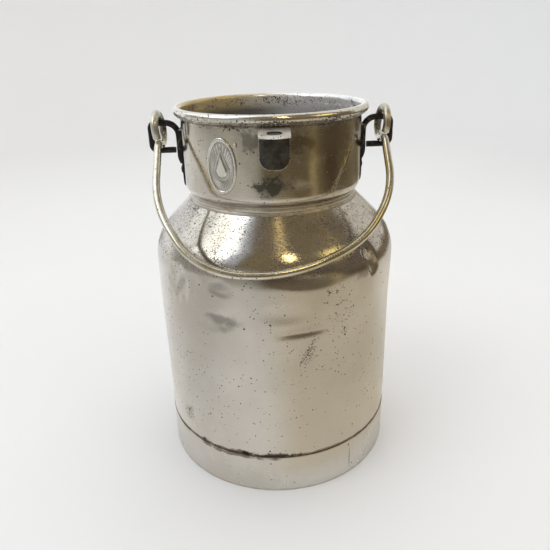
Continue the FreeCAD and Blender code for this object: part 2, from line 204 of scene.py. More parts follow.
def makeSpinTree():
    # turns an outline of points (radius on X, height on Z) into a closed ring round the can's axis
    tree, groupIn, groupOut = startTree("spinProfile", [("Segments", "Int", 256)] + waverInputs)
    outline = groupIn.outputs[0]
    size = addNode(tree, "GeometryNodeAttributeDomainSize", {"component": "MESH"}, Geometry=outline)
    count = size.outputs["Point Count"]
    columns = plus(tree, groupIn.outputs["Segments"], 1.0)
    grid = addNode(tree, "GeometryNodeMeshGrid", None, i2=columns, i3=count)
    grid.inputs[0].default_value = 1.0
    index = addNode(tree, "GeometryNodeInputIndex").outputs[0]
    ring = mathNode(tree, "FLOOR", mathNode(tree, "DIVIDE", plus(tree, index, 0.5), count))
    row = minus(tree, index, times(tree, ring, count))
    place = addNode(tree, "GeometryNodeInputPosition")
    sample = addNode(tree, "GeometryNodeSampleIndex", {"data_type": "FLOAT_VECTOR", "domain": "POINT"},
                     Geometry=outline, Value=place.outputs[0], Index=row)
    split = addNode(tree, "ShaderNodeSeparateXYZ", None, i0=sample.outputs[0])
    share = mathNode(tree, "DIVIDE", ring, groupIn.outputs["Segments"])
    turn = times(tree, share, full)
    across = times(tree, split.outputs[0], mathNode(tree, "SINE", turn))
    ahead = times(tree, split.outputs[0], mathNode(tree, "COSINE", turn))
    spot = addNode(tree, "ShaderNodeCombineXYZ", None, X=across, Y=times(tree, ahead, -1.0),
                   Z=split.outputs[2])
    placed = addNode(tree, "GeometryNodeSetPosition", None, Geometry=grid.outputs[0],
                     Position=spot.outputs[0])
    merged = addNode(tree, "GeometryNodeMergeByDistance", None, Geometry=placed.outputs[0], Distance=1e-6)
    endTree(tree, groupIn, groupOut, addWaver(tree, groupIn, merged.outputs[0]))
    return tree


def makeRodTree():
    # a round rod along a line of points
    tree, groupIn, groupOut = startTree("rodAlongPath", [("Rod Radius", "Float", 0.003), ("Sides", "Int", 24),
                                                         ("Step", "Float", 0.001)] + waverInputs)
    curve = addNode(tree, "GeometryNodeMeshToCurve", None, Mesh=groupIn.outputs[0])
    even = addNode(tree, "GeometryNodeResampleCurve", {"mode": "LENGTH"}, Curve=curve.outputs[0],
                   Length=groupIn.outputs["Step"])
    circle = addNode(tree, "GeometryNodeCurvePrimitiveCircle", None, Resolution=groupIn.outputs["Sides"],
                     Radius=groupIn.outputs["Rod Radius"])
    rod = addNode(tree, "GeometryNodeCurveToMesh", None, Curve=even.outputs[0])
    tree.links.new(circle.outputs[0], rod.inputs["Profile Curve"])
    rod.inputs["Fill Caps"].default_value = True
    endTree(tree, groupIn, groupOut, addWaver(tree, groupIn, rod.outputs[0]))
    return tree


def makeHeadTree():
    # flattened balls on points that carry a direction, such as rivet heads
    sizes = [("Head Radius", "Float", 0.004), ("Rise", "Float", 0.002)]
    tree, groupIn, groupOut = startTree("headsOnPoints", sizes + waverInputs)
    ball = addNode(tree, "GeometryNodeMeshUVSphere", None, Segments=32, Rings=20, Radius=1.0)
    size = addNode(tree, "ShaderNodeCombineXYZ", None, X=groupIn.outputs["Head Radius"],
                   Y=groupIn.outputs["Head Radius"], Z=groupIn.outputs["Rise"])
    way = addNode(tree, "GeometryNodeInputNamedAttribute", {"data_type": "FLOAT_VECTOR"}, Name="way")
    turn = addNode(tree, "FunctionNodeAlignRotationToVector", {"axis": "Z"}, Vector=way.outputs[0])
    heads = addNode(tree, "GeometryNodeInstanceOnPoints", None, Points=groupIn.outputs[0],
                    Instance=ball.outputs[0], Rotation=turn.outputs[0], Scale=size.outputs[0])
    real = addNode(tree, "GeometryNodeRealizeInstances", None, Geometry=heads.outputs[0])
    endTree(tree, groupIn, groupOut, addWaver(tree, groupIn, real.outputs[0]))
    return tree


def bakeNodes(name, mesh, tree, values):
    piece = linkObject(name, mesh)
    modifier = piece.modifiers.new("nodes", "NODES")
    modifier.node_group = tree
    for item in tree.interface.items_tree:
        if item.item_type == "SOCKET" and item.in_out == "INPUT" and item.name in values:
            modifier[item.identifier] = values[item.name]
    graph = bpy.context.evaluated_depsgraph_get()
    result = bpy.data.meshes.new_from_object(piece.evaluated_get(graph), depsgraph=graph)
    piece.modifiers.clear()
    piece.data = result
    result.name = name
    tidyMesh(result)
    return piece


def lineMesh(name, points):
    mesh = bpy.data.meshes.new(name)
    mesh.from_pydata(points, [(i, i + 1) for i in range(len(points) - 1)], [])
    return mesh


def spinPiece(name, outline, material, segments=256, waver=0.0, waveScale=30.0, seed=1.0):
    points = [(r, 0.0, z) for r, z in outline]
    if math.dist(outline[0], outline[-1]) > 1e-7:
        points.append(points[0])
    return bakeNodes(name, lineMesh(name, points), spinTree,
                     {"Segments": segments, "Waver": waver, "Wave Scale": waveScale, "Seed": seed,
                      "Material": material})


def rodPiece(name, points, radius, material, sides=24, step=0.001, waver=0.0, waveScale=60.0, seed=1.0):
    return bakeNodes(name, lineMesh(name, points), rodTree,
                     {"Rod Radius": radius, "Sides": sides, "Step": step, "Waver": waver,
                      "Wave Scale": waveScale, "Seed": seed, "Material": material})


spinTree = makeSpinTree()
rodTree = makeRodTree()
headTree = makeHeadTree()
print("trees ready")


# shader groups
def startGroup(name, inputs, outputs):
    group = bpy.data.node_groups.new(name, "ShaderNodeTree")
    for label, kind, value in inputs:
        socket = group.interface.new_socket(label, in_out="INPUT", socket_type="NodeSocket" + kind)
        if value is not None:
            socket.default_value = value
    for label, kind in outputs:
        group.interface.new_socket(label, in_out="OUTPUT", socket_type="NodeSocket" + kind)
    return group, group.nodes.new("NodeGroupInput"), group.nodes.new("NodeGroupOutput")


def rampNode(tree, value, low, high, first=0.0, last=1.0):
    return addNode(tree, "ShaderNodeMapRange", {"interpolation_type": "SMOOTHSTEP", "clamp": True}, i0=value,
                   i1=low, i2=high, i3=first, i4=last).outputs[0]


def mixColour(tree, factor, first, second):
    node = tree.nodes.new("ShaderNodeMix")
    node.data_type = "RGBA"
    for socket, value in ((node.inputs[0], factor), (node.inputs[6], first), (node.inputs[7], second)):
        if isinstance(value, bpy.types.NodeSocket):
            tree.links.new(value, socket)
        elif hasattr(value, "__len__"):
            socket.default_value = (*value, 1.0)
        else:
            socket.default_value = value
    return node.outputs[2]


def noiseNode(tree, vector, scale, detail=3.0, rough=0.55, seed=0.0, stretch=None):
    if stretch:
        vector = addNode(tree, "ShaderNodeMapping", None, Vector=vector, Scale=stretch).outputs[0]
    return addNode(tree, "ShaderNodeTexNoise", {"noise_dimensions": "4D"}, Vector=vector, W=seed, Scale=scale,
                   Detail=detail, Roughness=rough).outputs[0]


def makePitGroup():
    # small dark pits: random cells of a Voronoi pattern, each a spot of its own size
    group, start, end = startGroup("pitting", [("Vector", "Vector", None), ("Scale", "Float", 900.0),
                                               ("Amount", "Float", 0.3), ("Size", "Float", 0.3)],
                                   [("Mask", "Float")])
    warp = addNode(group, "ShaderNodeTexNoise", None, Vector=start.outputs["Vector"], Scale=600.0, Detail=2.0)
    shift = vectorNode(group, "SCALE", i0=warp.outputs["Color"], Scale=0.0018)
    place = vectorNode(group, "ADD", i0=start.outputs["Vector"],
                       i1=shift.outputs[0])
    cells = addNode(group, "ShaderNodeTexVoronoi", None, Vector=place.outputs[0],
                    Scale=start.outputs["Scale"])
    chance = addNode(group, "ShaderNodeSeparateColor", None, Color=cells.outputs["Color"])
    chosen = mathNode(group, "LESS_THAN", chance.outputs[0], start.outputs["Amount"])
    size = times(group, start.outputs["Size"], plus(group, chance.outputs[1], 0.35))
    edge = minus(group, size, cells.outputs["Distance"])
    spot = addNode(group, "ShaderNodeMapRange", {"clamp": True}, i0=edge, i1=0.0, i2=0.12, i3=0.0, i4=1.0)
    spots = times(group, chosen, spot.outputs[0])
    blot = addNode(group, "ShaderNodeTexNoise", None, Vector=place.outputs[0], Scale=start.outputs["Scale"],
                   Detail=2.0, Roughness=0.6).outputs[0]
    edgeOf = rampNode(group, start.outputs["Amount"], 0.1, 1.0, 0.76, 0.44)
    ragged = addNode(group, "ShaderNodeMapRange", {"clamp": True}, i0=minus(group, blot, edgeOf),
                     i1=0.0, i2=0.05, i3=0.0, i4=1.0)
    group.links.new(mathNode(group, "MAXIMUM", spots, ragged.outputs[0]), end.inputs[0])
    return group


def makeScratchGroup():
    # fine polishing lines that run round the can, with a few long stray scratches
    group, start, end = startGroup("polishLines", [("Vector", "Vector", None)],
                                   [("Lines", "Float"), ("Scratches", "Float")])
    lines = noiseNode(group, start.outputs[0], 60.0, 5.0, 0.7, 2.0, (1.5, 1.5, 45.0))
    stray = addNode(group, "ShaderNodeMapping", None, Vector=start.outputs[0], Rotation=(0.3, 0.5, 0.2),
                    Scale=(1.0, 1.0, 16.0))
    wave = addNode(group, "ShaderNodeTexNoise", None, Vector=stray.outputs[0], Scale=70.0, Detail=4.0)
    thin = mathNode(group, "ABSOLUTE", minus(group, wave.outputs[0], 0.5))
    group.links.new(lines, end.inputs[0])
    group.links.new(rampNode(group, thin, 0.0, 0.006, 1.0, 0.0), end.inputs[1])
    return group


def makePlaceGroup():
    # height, distance from the axis and degrees from the front, for marks at a place on the can
    group, start, end = startGroup("placeOnCan", [("Vector", "Vector", None)],
                                   [("Height", "Float"), ("Radius", "Float"), ("Degrees", "Float")])
    split = addNode(group, "ShaderNodeSeparateXYZ", None, i0=start.outputs[0])
    flat = addNode(group, "ShaderNodeCombineXYZ", None, X=split.outputs[0], Y=split.outputs[1])
    radius = vectorNode(group, "LENGTH", i0=flat.outputs[0])
    turn = mathNode(group, "ARCTAN2", split.outputs[0], times(group, split.outputs[1], -1.0))
    group.links.new(split.outputs[2], end.inputs[0])
    group.links.new(radius.outputs["Value"], end.inputs[1])
    group.links.new(times(group, turn, 180 / math.pi), end.inputs[2])
    return group


def makePatchGroup():
    # soft oval patch round a place on the can, broken up by noise
    group, start, end = startGroup("patchOnCan", [("Vector", "Vector", None), ("Degrees", "Float", 0.0),
                                                  ("Height", "Float", 0.1), ("Half Angle", "Float", 10.0),
                                                  ("Half Height", "Float", 0.01), ("Lean", "Float", 0.0),
                                                  ("Ragged", "Float", 0.5)],
                                   [("Mask", "Float")])
    place = addNode(group, "ShaderNodeGroup", {"node_tree": placeGroup}, Vector=start.outputs["Vector"])
    rise = minus(group, place.outputs["Height"], start.outputs["Height"])
    turn = minus(group, place.outputs["Degrees"], start.outputs["Degrees"])
    lean = times(group, rise, start.outputs["Lean"])
    across = mathNode(group, "DIVIDE", minus(group, turn, lean), start.outputs["Half Angle"])
    up = mathNode(group, "DIVIDE", rise, start.outputs["Half Height"])
    reach = crossLength(group, across, up)
    broken = noiseNode(group, start.outputs["Vector"], 110.0, 5.0, 0.65, 5.0)
    edge = times(group, minus(group, broken, 0.5), start.outputs["Ragged"])
    total = plus(group, reach, times(group, edge, 4.0))
    group.links.new(rampNode(group, total, 0.35, 1.0, 1.0, 0.0), end.inputs[0])
    return group


placeGroup = makePlaceGroup()
pitGroup = makePitGroup()
scratchGroup = makeScratchGroup()
patchGroup = makePatchGroup()


def useGroup(tree, group, **links):
    return addNode(tree, "ShaderNodeGroup", {"node_tree": group}, **links)


def startMaterial(name):
    material = bpy.data.materials.new(name)
    material.use_nodes = True
    tree = material.node_tree
    shader = tree.nodes["Principled BSDF"]
    coords = tree.nodes.new("ShaderNodeTexCoord").outputs["Object"]
    return material, tree, shader, coords


def setSurface(tree, shader, colour, metallic, roughness):
    # a plain number fills the input, anything else is linked to it
    for name, value in (("Base Color", colour), ("Metallic", metallic), ("Roughness", roughness)):
        if isinstance(value, float):
            shader.inputs[name].default_value = value
        else:
            tree.links.new(value, shader.inputs[name])


def addBump(tree, shader, layers):
    # layers of (height, strength, distance), each bump feeding the next
    normal = None
    for height, strength, distance in layers:
        bump = addNode(tree, "ShaderNodeBump", None, Height=height, Strength=strength, Distance=distance)
        if normal:
            tree.links.new(normal, bump.inputs["Normal"])
        normal = bump.outputs[0]
    tree.links.new(normal, shader.inputs["Normal"])


def patchMask(tree, coords, degrees, height, halfAngle, halfHeight, lean=0.0, ragged=0.5):
    node = useGroup(tree, patchGroup, Vector=coords, Degrees=degrees, Height=height, Lean=lean, Ragged=ragged)
    node.inputs["Half Angle"].default_value = halfAngle
    node.inputs["Half Height"].default_value = halfHeight
    return node.outputs[0]


# mouth: painted shade inside that deepens with depth, painted light and shade from left to right with a
# painted gold reflection on the collar's left, and where old milk stone has settled
mouthLook = {"leftEnd": -45.0 * mm, "rightEnd": 30.0 * mm, "deep": 15.5 * mm, "shallow": 7.5 * mm,
             "depthShade": 0.93, "depthShadeLeftEnd": -20.0 * mm, "depthShadeRightEnd": 25.0 * mm, "depthShadeRight": 0.35,
             "depthShadeColour": (0.15, 0.135, 0.12), "stoneScale": 150.0, "stone": 0.75,
             "stoneColour": (0.10, 0.08, 0.06)}


def insideColourAndShade(tree, coords, height, look):
    m = mouthLook
    across = addNode(tree, "ShaderNodeSeparateXYZ", None, i0=coords).outputs[0]
    # painted light and shade across the mouth: the left colour on the left, the lit inside colour on the
    # right
    rightward = rampNode(tree, across, m["leftEnd"], m["rightEnd"])
    skin = mixColour(tree, rightward, look["insideLeftPaintedLight"], look["inside"])
    # painted shade that deepens down into the mouth, weaker on the right
    depth = rampNode(tree, height, topZ - m["deep"], topZ - m["shallow"], m["depthShade"], 0.0)
    fading = rampNode(tree, across, m["depthShadeLeftEnd"], m["depthShadeRightEnd"], 1.0, m["depthShadeRight"])
    depthShade = times(tree, depth, fading)
    skin = mixColour(tree, depthShade, skin, m["depthShadeColour"])
    clouds = noiseNode(tree, coords, m["stoneScale"], 5.0, 0.7, 11.0)
    return mixColour(tree, rampNode(tree, clouds, 0.59, 0.64, 0.0, m["stone"]), skin, m["stoneColour"])


def steelMaterial(name, look):
    # worn tinned steel: tarnish clouds, polishing lines, pits where the tin has gone, stains and patches of
    # painted shade, and painted light and shade inside the mouth
    material, tree, shader, coords = startMaterial(name)
    place = useGroup(tree, placeGroup, Vector=coords)
    clouds = noiseNode(tree, coords, look["cloudScale"], 4.0, 0.6, 1.0)
    colour = mixColour(tree, rampNode(tree, clouds, 0.35, 0.7), look["bright"], look["tarnish"])
    lines = useGroup(tree, scratchGroup, Vector=coords)
    tinted = rampNode(tree, lines.outputs["Lines"], 0.3, 0.7, 0.0, look["lineTint"])
    colour = mixColour(tree, tinted, colour, look["tarnish"])
    masks = []
    for zone in look["pits"]:
        group = useGroup(tree, pitGroup, Vector=coords, Scale=zone["scale"], Size=zone["size"])
        spread = noiseNode(tree, coords, zone["spreadScale"], 3.0, 0.6, zone["seed"])
        amount = rampNode(tree, spread, 0.3, 0.7, zone["least"], zone["most"])
        if "low" in zone:
            above = rampNode(tree, place.outputs["Height"], zone["low"] - 0.006, zone["low"])
            below = rampNode(tree, place.outputs["Height"], zone["high"], zone["high"] + 0.006, 1.0, 0.0)
            amount = times(tree, amount, times(tree, above, below))
        if "patch" in zone:
            amount = times(tree, amount, patchMask(tree, coords, *zone["patch"]))
        tree.links.new(amount, group.inputs["Amount"])
        masks.append(group.outputs[0])
    pits = masks[0]
    for mask in masks[1:]:
        pits = mathNode(tree, "MAXIMUM", pits, mask)
    rough = rampNode(tree, noiseNode(tree, coords, look["smudgeScale"], 4.0, 0.6, 3.0), 0.3, 0.75,
                     look["roughLow"], look["roughHigh"])
    if "polishAbove" in look:
        border = look["polishAbove"]
        share = rampNode(tree, place.outputs["Height"], border - 0.006, border + 0.006, 1.0, look["polish"])
        rough = times(tree, rough, share)
    rough = plus(tree, rough, times(tree, lines.outputs["Scratches"], 0.06))
    # each patch mixes in a stain, or painted shade over a dent
    for patch, strength, shade, dulling in look["stainsAndShade"]:
        mask = times(tree, patchMask(tree, coords, *patch), strength)
        colour = mixColour(tree, mask, colour, shade)
        rough = plus(tree, rough, times(tree, mask, dulling))
    if "inside" in look:
        facing = addNode(tree, "ShaderNodeNewGeometry").outputs["Normal"]
        flat = vectorNode(tree, "MULTIPLY", i0=coords, i1=(1.0, 1.0, 0.0))
        outward = vectorNode(tree, "DOT_PRODUCT", i0=facing, i1=flat.outputs[0])
        inside = mathNode(tree, "LESS_THAN", outward.outputs["Value"], -0.002)
        skin = insideColourAndShade(tree, coords, place.outputs["Height"], look)
        colour = mixColour(tree, inside, colour, skin)
        rough = plus(tree, rough, times(tree, inside, look["insideRough"]))
        shine = minus(tree, 1.0, times(tree, inside, look["insideDull"]))
    colour = mixColour(tree, pits, colour, look["pitColour"])
    rough = plus(tree, rough, times(tree, pits, 0.45))
    metal = rampNode(tree, pits, 0.0, 1.0, 1.0, 0.35)
    if "inside" in look:
        metal = times(tree, metal, shine)
    setSurface(tree, shader, colour, metal, rough)
    waves = noiseNode(tree, coords, look["waveScale"], 2.0, 0.5, 7.0)
    addBump(tree, shader, [(waves, look["waveStrength"], 0.004),
                           (lines.outputs["Lines"], look["lineBump"], 0.0002), (pits, -0.5, 0.0003)])
    return material


# pits: cell scale, pit size, spread of the clusters, least and most share, and the zone or patch they keep to
# patch: degrees from the front, height, half angle, half height, lean, raggedness
# stains and painted shade: patch, strength, colour, added roughness
bodyLook = {
    "bright": (0.70, 0.67, 0.625), "tarnish": (0.58, 0.545, 0.49), "cloudScale": 9.0, "lineTint": 0.25,
    "smudgeScale": 22.0, "roughLow": 0.17, "roughHigh": 0.29, "waveScale": 16.0, "waveStrength": 0.12,
    "polishAbove": 0.202, "polish": 0.38,
    "lineBump": 0.25, "pitColour": (0.09, 0.07, 0.055),
    # inside: colour on the lit right of the mouth's inside; insideLeftPaintedLight: painted shade on its left
    "inside": (0.70, 0.69, 0.66), "insideLeftPaintedLight": (0.6, 0.57, 0.5), "insideRough": 0.1, "insideDull": 0.3,
    "pits": [
        {"scale": 1050.0, "size": 0.46, "spreadScale": 34.0, "seed": 4.0, "least": 0.1, "most": 0.85,
         "low": 0.206, "high": 0.245},
        {"scale": 620.0, "size": 0.36, "spreadScale": 24.0, "seed": 7.0, "least": 0.0, "most": 0.4,
         "low": 0.204, "high": 0.245},
        {"scale": 300.0, "size": 0.24, "spreadScale": 20.0, "seed": 9.0, "least": 0.0, "most": 0.09},
        {"scale": 640.0, "size": 0.36, "spreadScale": 14.0, "seed": 5.0, "least": -0.03, "most": 0.17},
        {"scale": 900.0, "size": 0.4, "spreadScale": 70.0, "seed": 2.0, "least": 0.6, "most": 1.0,
         "patch": (12.4, 0.138, 4.4, 0.017, 260.0, 0.4)},
        {"scale": 560.0, "size": 0.27, "spreadScale": 160.0, "seed": 6.0, "least": 0.15, "most": 0.75,
         "patch": (28.5, 0.168, 8.5, 0.044, 0.0, 0.8)},
        {"scale": 620.0, "size": 0.3, "spreadScale": 120.0, "seed": 6.5, "least": 0.1, "most": 0.8,
         "patch": (22.5, 0.186, 7.0, 0.008, 0.0, 0.6)},
        {"scale": 900.0, "size": 0.4, "spreadScale": 70.0, "seed": 3.0, "least": 0.3, "most": 0.9,
         "patch": (-51.0, 0.058, 6.0, 0.010, 0.0, 0.5)},
    ],
    "stainsAndShade": [
        ((-26.0, 0.226, 30.0, 0.014, 0.0, 0.8), 0.25, (0.45, 0.42, 0.38), 0.1),
        ((30.0, 0.233, 26.0, 0.009, 0.0, 0.9), 0.45, (0.36, 0.30, 0.24), 0.15),
        ((-51.0, 0.058, 5.0, 0.012, 0.0, 0.7), 0.4, (0.4, 0.38, 0.35), 0.1),
        ((0.0, 0.0380, 230.0, 0.0018, 0.0, 0.6), 0.75, (0.2, 0.15, 0.11), 0.3),
        ((-27.0, 0.0386, 17.0, 0.0030, 0.0, 1.2), 0.75, (0.10, 0.08, 0.065), 0.4),
        ((-3.0, 0.0382, 15.0, 0.0027, 0.0, 1.1), 0.85, (0.06, 0.05, 0.04), 0.4),
        # the last five patches are painted shade over dents, deepening their shading
        ((9.0, 0.204, 26.0, 0.0055, 0.0, 0.5), 0.32, (0.22, 0.19, 0.15), 0.1),
        ((-26.0, 0.1665, 9.5, 0.0062, -350.0, 0.35), 0.8, (0.27, 0.26, 0.24), 0.05),
        ((-27.0, 0.1945, 7.0, 0.0055, 200.0, 0.35), 0.6, (0.32, 0.31, 0.29), 0.05),
        ((-48.5, 0.187, 3.6, 0.013, 380.0, 0.4), 0.5, (0.32, 0.30, 0.27), 0.05),
        ((40.5, 0.1965, 5.5, 0.006, 0.0, 0.35), 0.6, (0.22, 0.19, 0.17), 0.05),
    ],
}

collarLook = {
    "bright": (0.68, 0.65, 0.585), "tarnish": (0.48, 0.445, 0.37), "cloudScale": 20.0, "lineTint": 0.35,
    "smudgeScale": 35.0, "roughLow": 0.09, "roughHigh": 0.2, "waveScale": 24.0, "waveStrength": 0.10,
    "lineBump": 0.2, "pitColour": (0.07, 0.06, 0.05),
    # inside: painted light on the lit right of the mouth's inside; insideLeftPaintedLight: a painted gold
    # reflection on its left
    "inside": (0.97, 0.97, 0.97), "insideLeftPaintedLight": (0.56, 0.44, 0.22), "insideRough": 0.04, "insideDull": 0.5,
    "pits": [
        {"scale": 520.0, "size": 0.3, "spreadScale": 24.0, "seed": 3.0, "least": 0.0, "most": 0.3},
        {"scale": 700.0, "size": 0.4, "spreadScale": 60.0, "seed": 8.0, "least": 0.2, "most": 0.9,
         "low": 0.3085, "high": 0.3135},
        {"scale": 480.0, "size": 0.36, "spreadScale": 60.0, "seed": 5.0, "least": 0.2, "most": 0.9,
         "patch": (13.0, 0.292, 3.0, 0.02, 0.0, 0.7)},
        {"scale": 480.0, "size": 0.36, "spreadScale": 60.0, "seed": 5.0, "least": 0.2, "most": 0.9,
         "patch": (-12.0, 0.288, 2.6, 0.02, 0.0, 0.7)},
    ],
    "stainsAndShade": [
        ((-1.0, 0.2665, 12.5, 0.0080, 0.0, 1.2), 0.86, (0.06, 0.064, 0.060), 0.2),
        ((14.5, 0.298, 8.0, 0.012, 0.0, 0.9), 0.8, (0.20, 0.16, 0.11), 0.15),
        ((-13.0, 0.300, 6.5, 0.011, 0.0, 0.9), 0.75, (0.20, 0.19, 0.155), 0.15),
        ((34.0, 0.297, 26.0, 0.020, 0.0, 0.6), 0.4, (0.28, 0.23, 0.15), 0.05),
        ((0.0, 0.3165, 900.0, 0.0045, 0.0, 0.3), 0.8, (0.90, 0.885, 0.84), -0.04),
        ((0.0, 0.3095, 180.0, 0.0022, 0.0, 0.7), 0.6, (0.18, 0.13, 0.09), 0.25),
        ((0.0, 0.2475, 180.0, 0.0016, 0.0, 0.6), 0.55, (0.26, 0.22, 0.17), 0.2),
    ],
}

hoopLook = dict(bodyLook, bright=(0.72, 0.69, 0.64), tarnish=(0.60, 0.565, 0.505), roughLow=0.24,
                roughHigh=0.38, pits=[{"scale": 300.0, "size": 0.28, "spreadScale": 20.0, "seed": 12.0,
                                       "least": 0.0, "most": 0.12}],
                stainsAndShade=[((-25.0, 0.0355, 24.0, 0.0025, 0.0, 0.8), 0.85, (0.24, 0.19, 0.15), 0.3),
                        ((34.8, 0.0185, 0.42, 0.0145, 0.0, 0.15), 0.85, (0.08, 0.07, 0.06), 0.3),
                        ((0.0, 0.0008, 180.0, 0.0012, 0.0, 0.6), 0.5, (0.4, 0.36, 0.3), 0.2)])

bottomLook = dict(bodyLook, bright=(0.62, 0.61, 0.58), tarnish=(0.48, 0.46, 0.42), roughLow=0.3,
                  roughHigh=0.46, pits=[{"scale": 420.0, "size": 0.32, "spreadScale": 20.0, "seed": 14.0,
                                         "least": 0.05, "most": 0.35}], stainsAndShade=[])
bottomLook.pop("inside")


def rustMaterial(name, dark, metalColour, share, cloudScale):
    # dull solder with rust eating into it
    material, tree, shader, coords = startMaterial(name)
    rust = rampNode(tree, noiseNode(tree, coords, cloudScale, 6.0, 0.72, 3.0), share - 0.1, share + 0.06)
    grain = noiseNode(tree, coords, 900.0, 3.0, 0.6, 1.0)
    brown = mixColour(tree, grain, dark, tuple(c * 2.2 for c in dark))
    setSurface(tree, shader, mixColour(tree, rust, metalColour, brown),
               rampNode(tree, rust, 0.0, 1.0, 1.0, 0.15), rampNode(tree, rust, 0.0, 1.0, 0.36, 0.85))
    lumps = noiseNode(tree, coords, 260.0, 3.0, 0.6, 2.0)
    addBump(tree, shader, [(grain, 0.5, 0.0003), (lumps, 0.5, 0.0006)])
    return material


def ironMaterial(name):
    # blackened forged iron with brown rust in the hollows and bright rubbed spots
    material, tree, shader, coords = startMaterial(name)
    rust = rampNode(tree, noiseNode(tree, coords, 160.0, 6.0, 0.7, 6.0), 0.48, 0.68)
    rub = rampNode(tree, noiseNode(tree, coords, 70.0, 4.0, 0.6, 2.0), 0.6, 0.72)
    colour = mixColour(tree, rust, (0.03, 0.03, 0.032), (0.075, 0.055, 0.045))
    colour = mixColour(tree, times(tree, rub, 0.6), colour, (0.32, 0.31, 0.30))
    setSurface(tree, shader, colour, rampNode(tree, rust, 0.0, 1.0, 0.85, 0.2),
               rampNode(tree, rust, 0.0, 1.0, 0.38, 0.75))
    scale = noiseNode(tree, coords, 420.0, 4.0, 0.65, 4.0)
    lumps = noiseNode(tree, coords, 120.0, 2.0, 0.5, 5.0)
    addBump(tree, shader, [(scale, 0.6, 0.0005), (lumps, 0.4, 0.0012)])
    return material


bailTilt = math.radians((360.0 - bailJoint["range_deg"][1]) / 2)  # swings from rest in front to rest behind


rodLook = {"eyeLow": 18.0 * mm, "eyeHigh": 4.0 * mm, "innerDarkFrom": 90.5 * mm, "innerDarkTo": 94.5 * mm,
           "outerDarkShare": 0.25, "undersideShadeStrength": 0.85}


def rodMaterial(name):
    # plated rod: silver where rubbed, brassy where the plating has thinned, dark grime in pits, and painted
    # shade on the sides facing the can and the floor
    material, tree, shader, coords = startMaterial(name)
    brass = rampNode(tree, noiseNode(tree, coords, 26.0, 4.0, 0.6, 2.0), 0.38, 0.66)
    colour = mixColour(tree, brass, (0.80, 0.78, 0.70), (0.58, 0.52, 0.35))
    grimeAndShade = rampNode(tree, noiseNode(tree, coords, 120.0, 6.0, 0.72, 9.0), 0.57, 0.70)
    place = useGroup(tree, placeGroup, Vector=coords)
    m = rodLook
    nearEye = rampNode(tree, place.outputs["Height"], pivot.z - m["eyeLow"], pivot.z - m["eyeHigh"])
    # the eyes are darker on the side towards the can's axis, near the hooks
    within = rampNode(tree, place.outputs["Radius"], m["innerDarkFrom"], m["innerDarkTo"], 1.0, m["outerDarkShare"])
    eyeInnerDark = times(tree, times(tree, nearEye, within),
                   rampNode(tree, noiseNode(tree, coords, 200.0, 4.0, 0.6, 4.0), 0.3, 0.6))
    grimeAndShade = mathNode(tree, "MAXIMUM", times(tree, grimeAndShade, 0.6), eyeInnerDark)
    pits = useGroup(tree, pitGroup, Vector=coords, Scale=520.0, Size=0.3, Amount=0.14).outputs[0]
    # painted shade on the side marked on the rod's mesh, which faces the can and the floor
    shadedUnderside = addNode(tree, "ShaderNodeAttribute", {"attribute_name": "shadedUnderside"}).outputs["Fac"]
    grimeAndShade = mathNode(tree, "MAXIMUM", grimeAndShade, times(tree, shadedUnderside, m["undersideShadeStrength"]))
    dark = mathNode(tree, "MAXIMUM", grimeAndShade, pits)
    smudge = rampNode(tree, noiseNode(tree, coords, 60.0, 4.0, 0.6, 5.0), 0.3, 0.7, 0.14, 0.3)
    setSurface(tree, shader, mixColour(tree, dark, colour, (0.10, 0.085, 0.06)),
               rampNode(tree, dark, 0.0, 1.0, 1.0, 0.6), plus(tree, smudge, times(tree, dark, 0.3)))
    lumps = noiseNode(tree, coords, 160.0, 3.0, 0.6, 3.0)
    addBump(tree, shader, [(lumps, 0.25, 0.0004), (dark, -0.4, 0.0003)])
    return material


lugLook = {"faceRadius": 77.05 * mm, "shelfDepth": 2.2 * mm, "cornerX": 2.4 * mm, "cornerRise": 9.0 * mm,
           "faceReach": 8.4 * mm, "slotX": 2.6 * mm, "slotY": -82.7 * mm, "slotStretch": 1.035,
           "slotReach": 2.7 * mm, "lipY": -88.0 * mm}


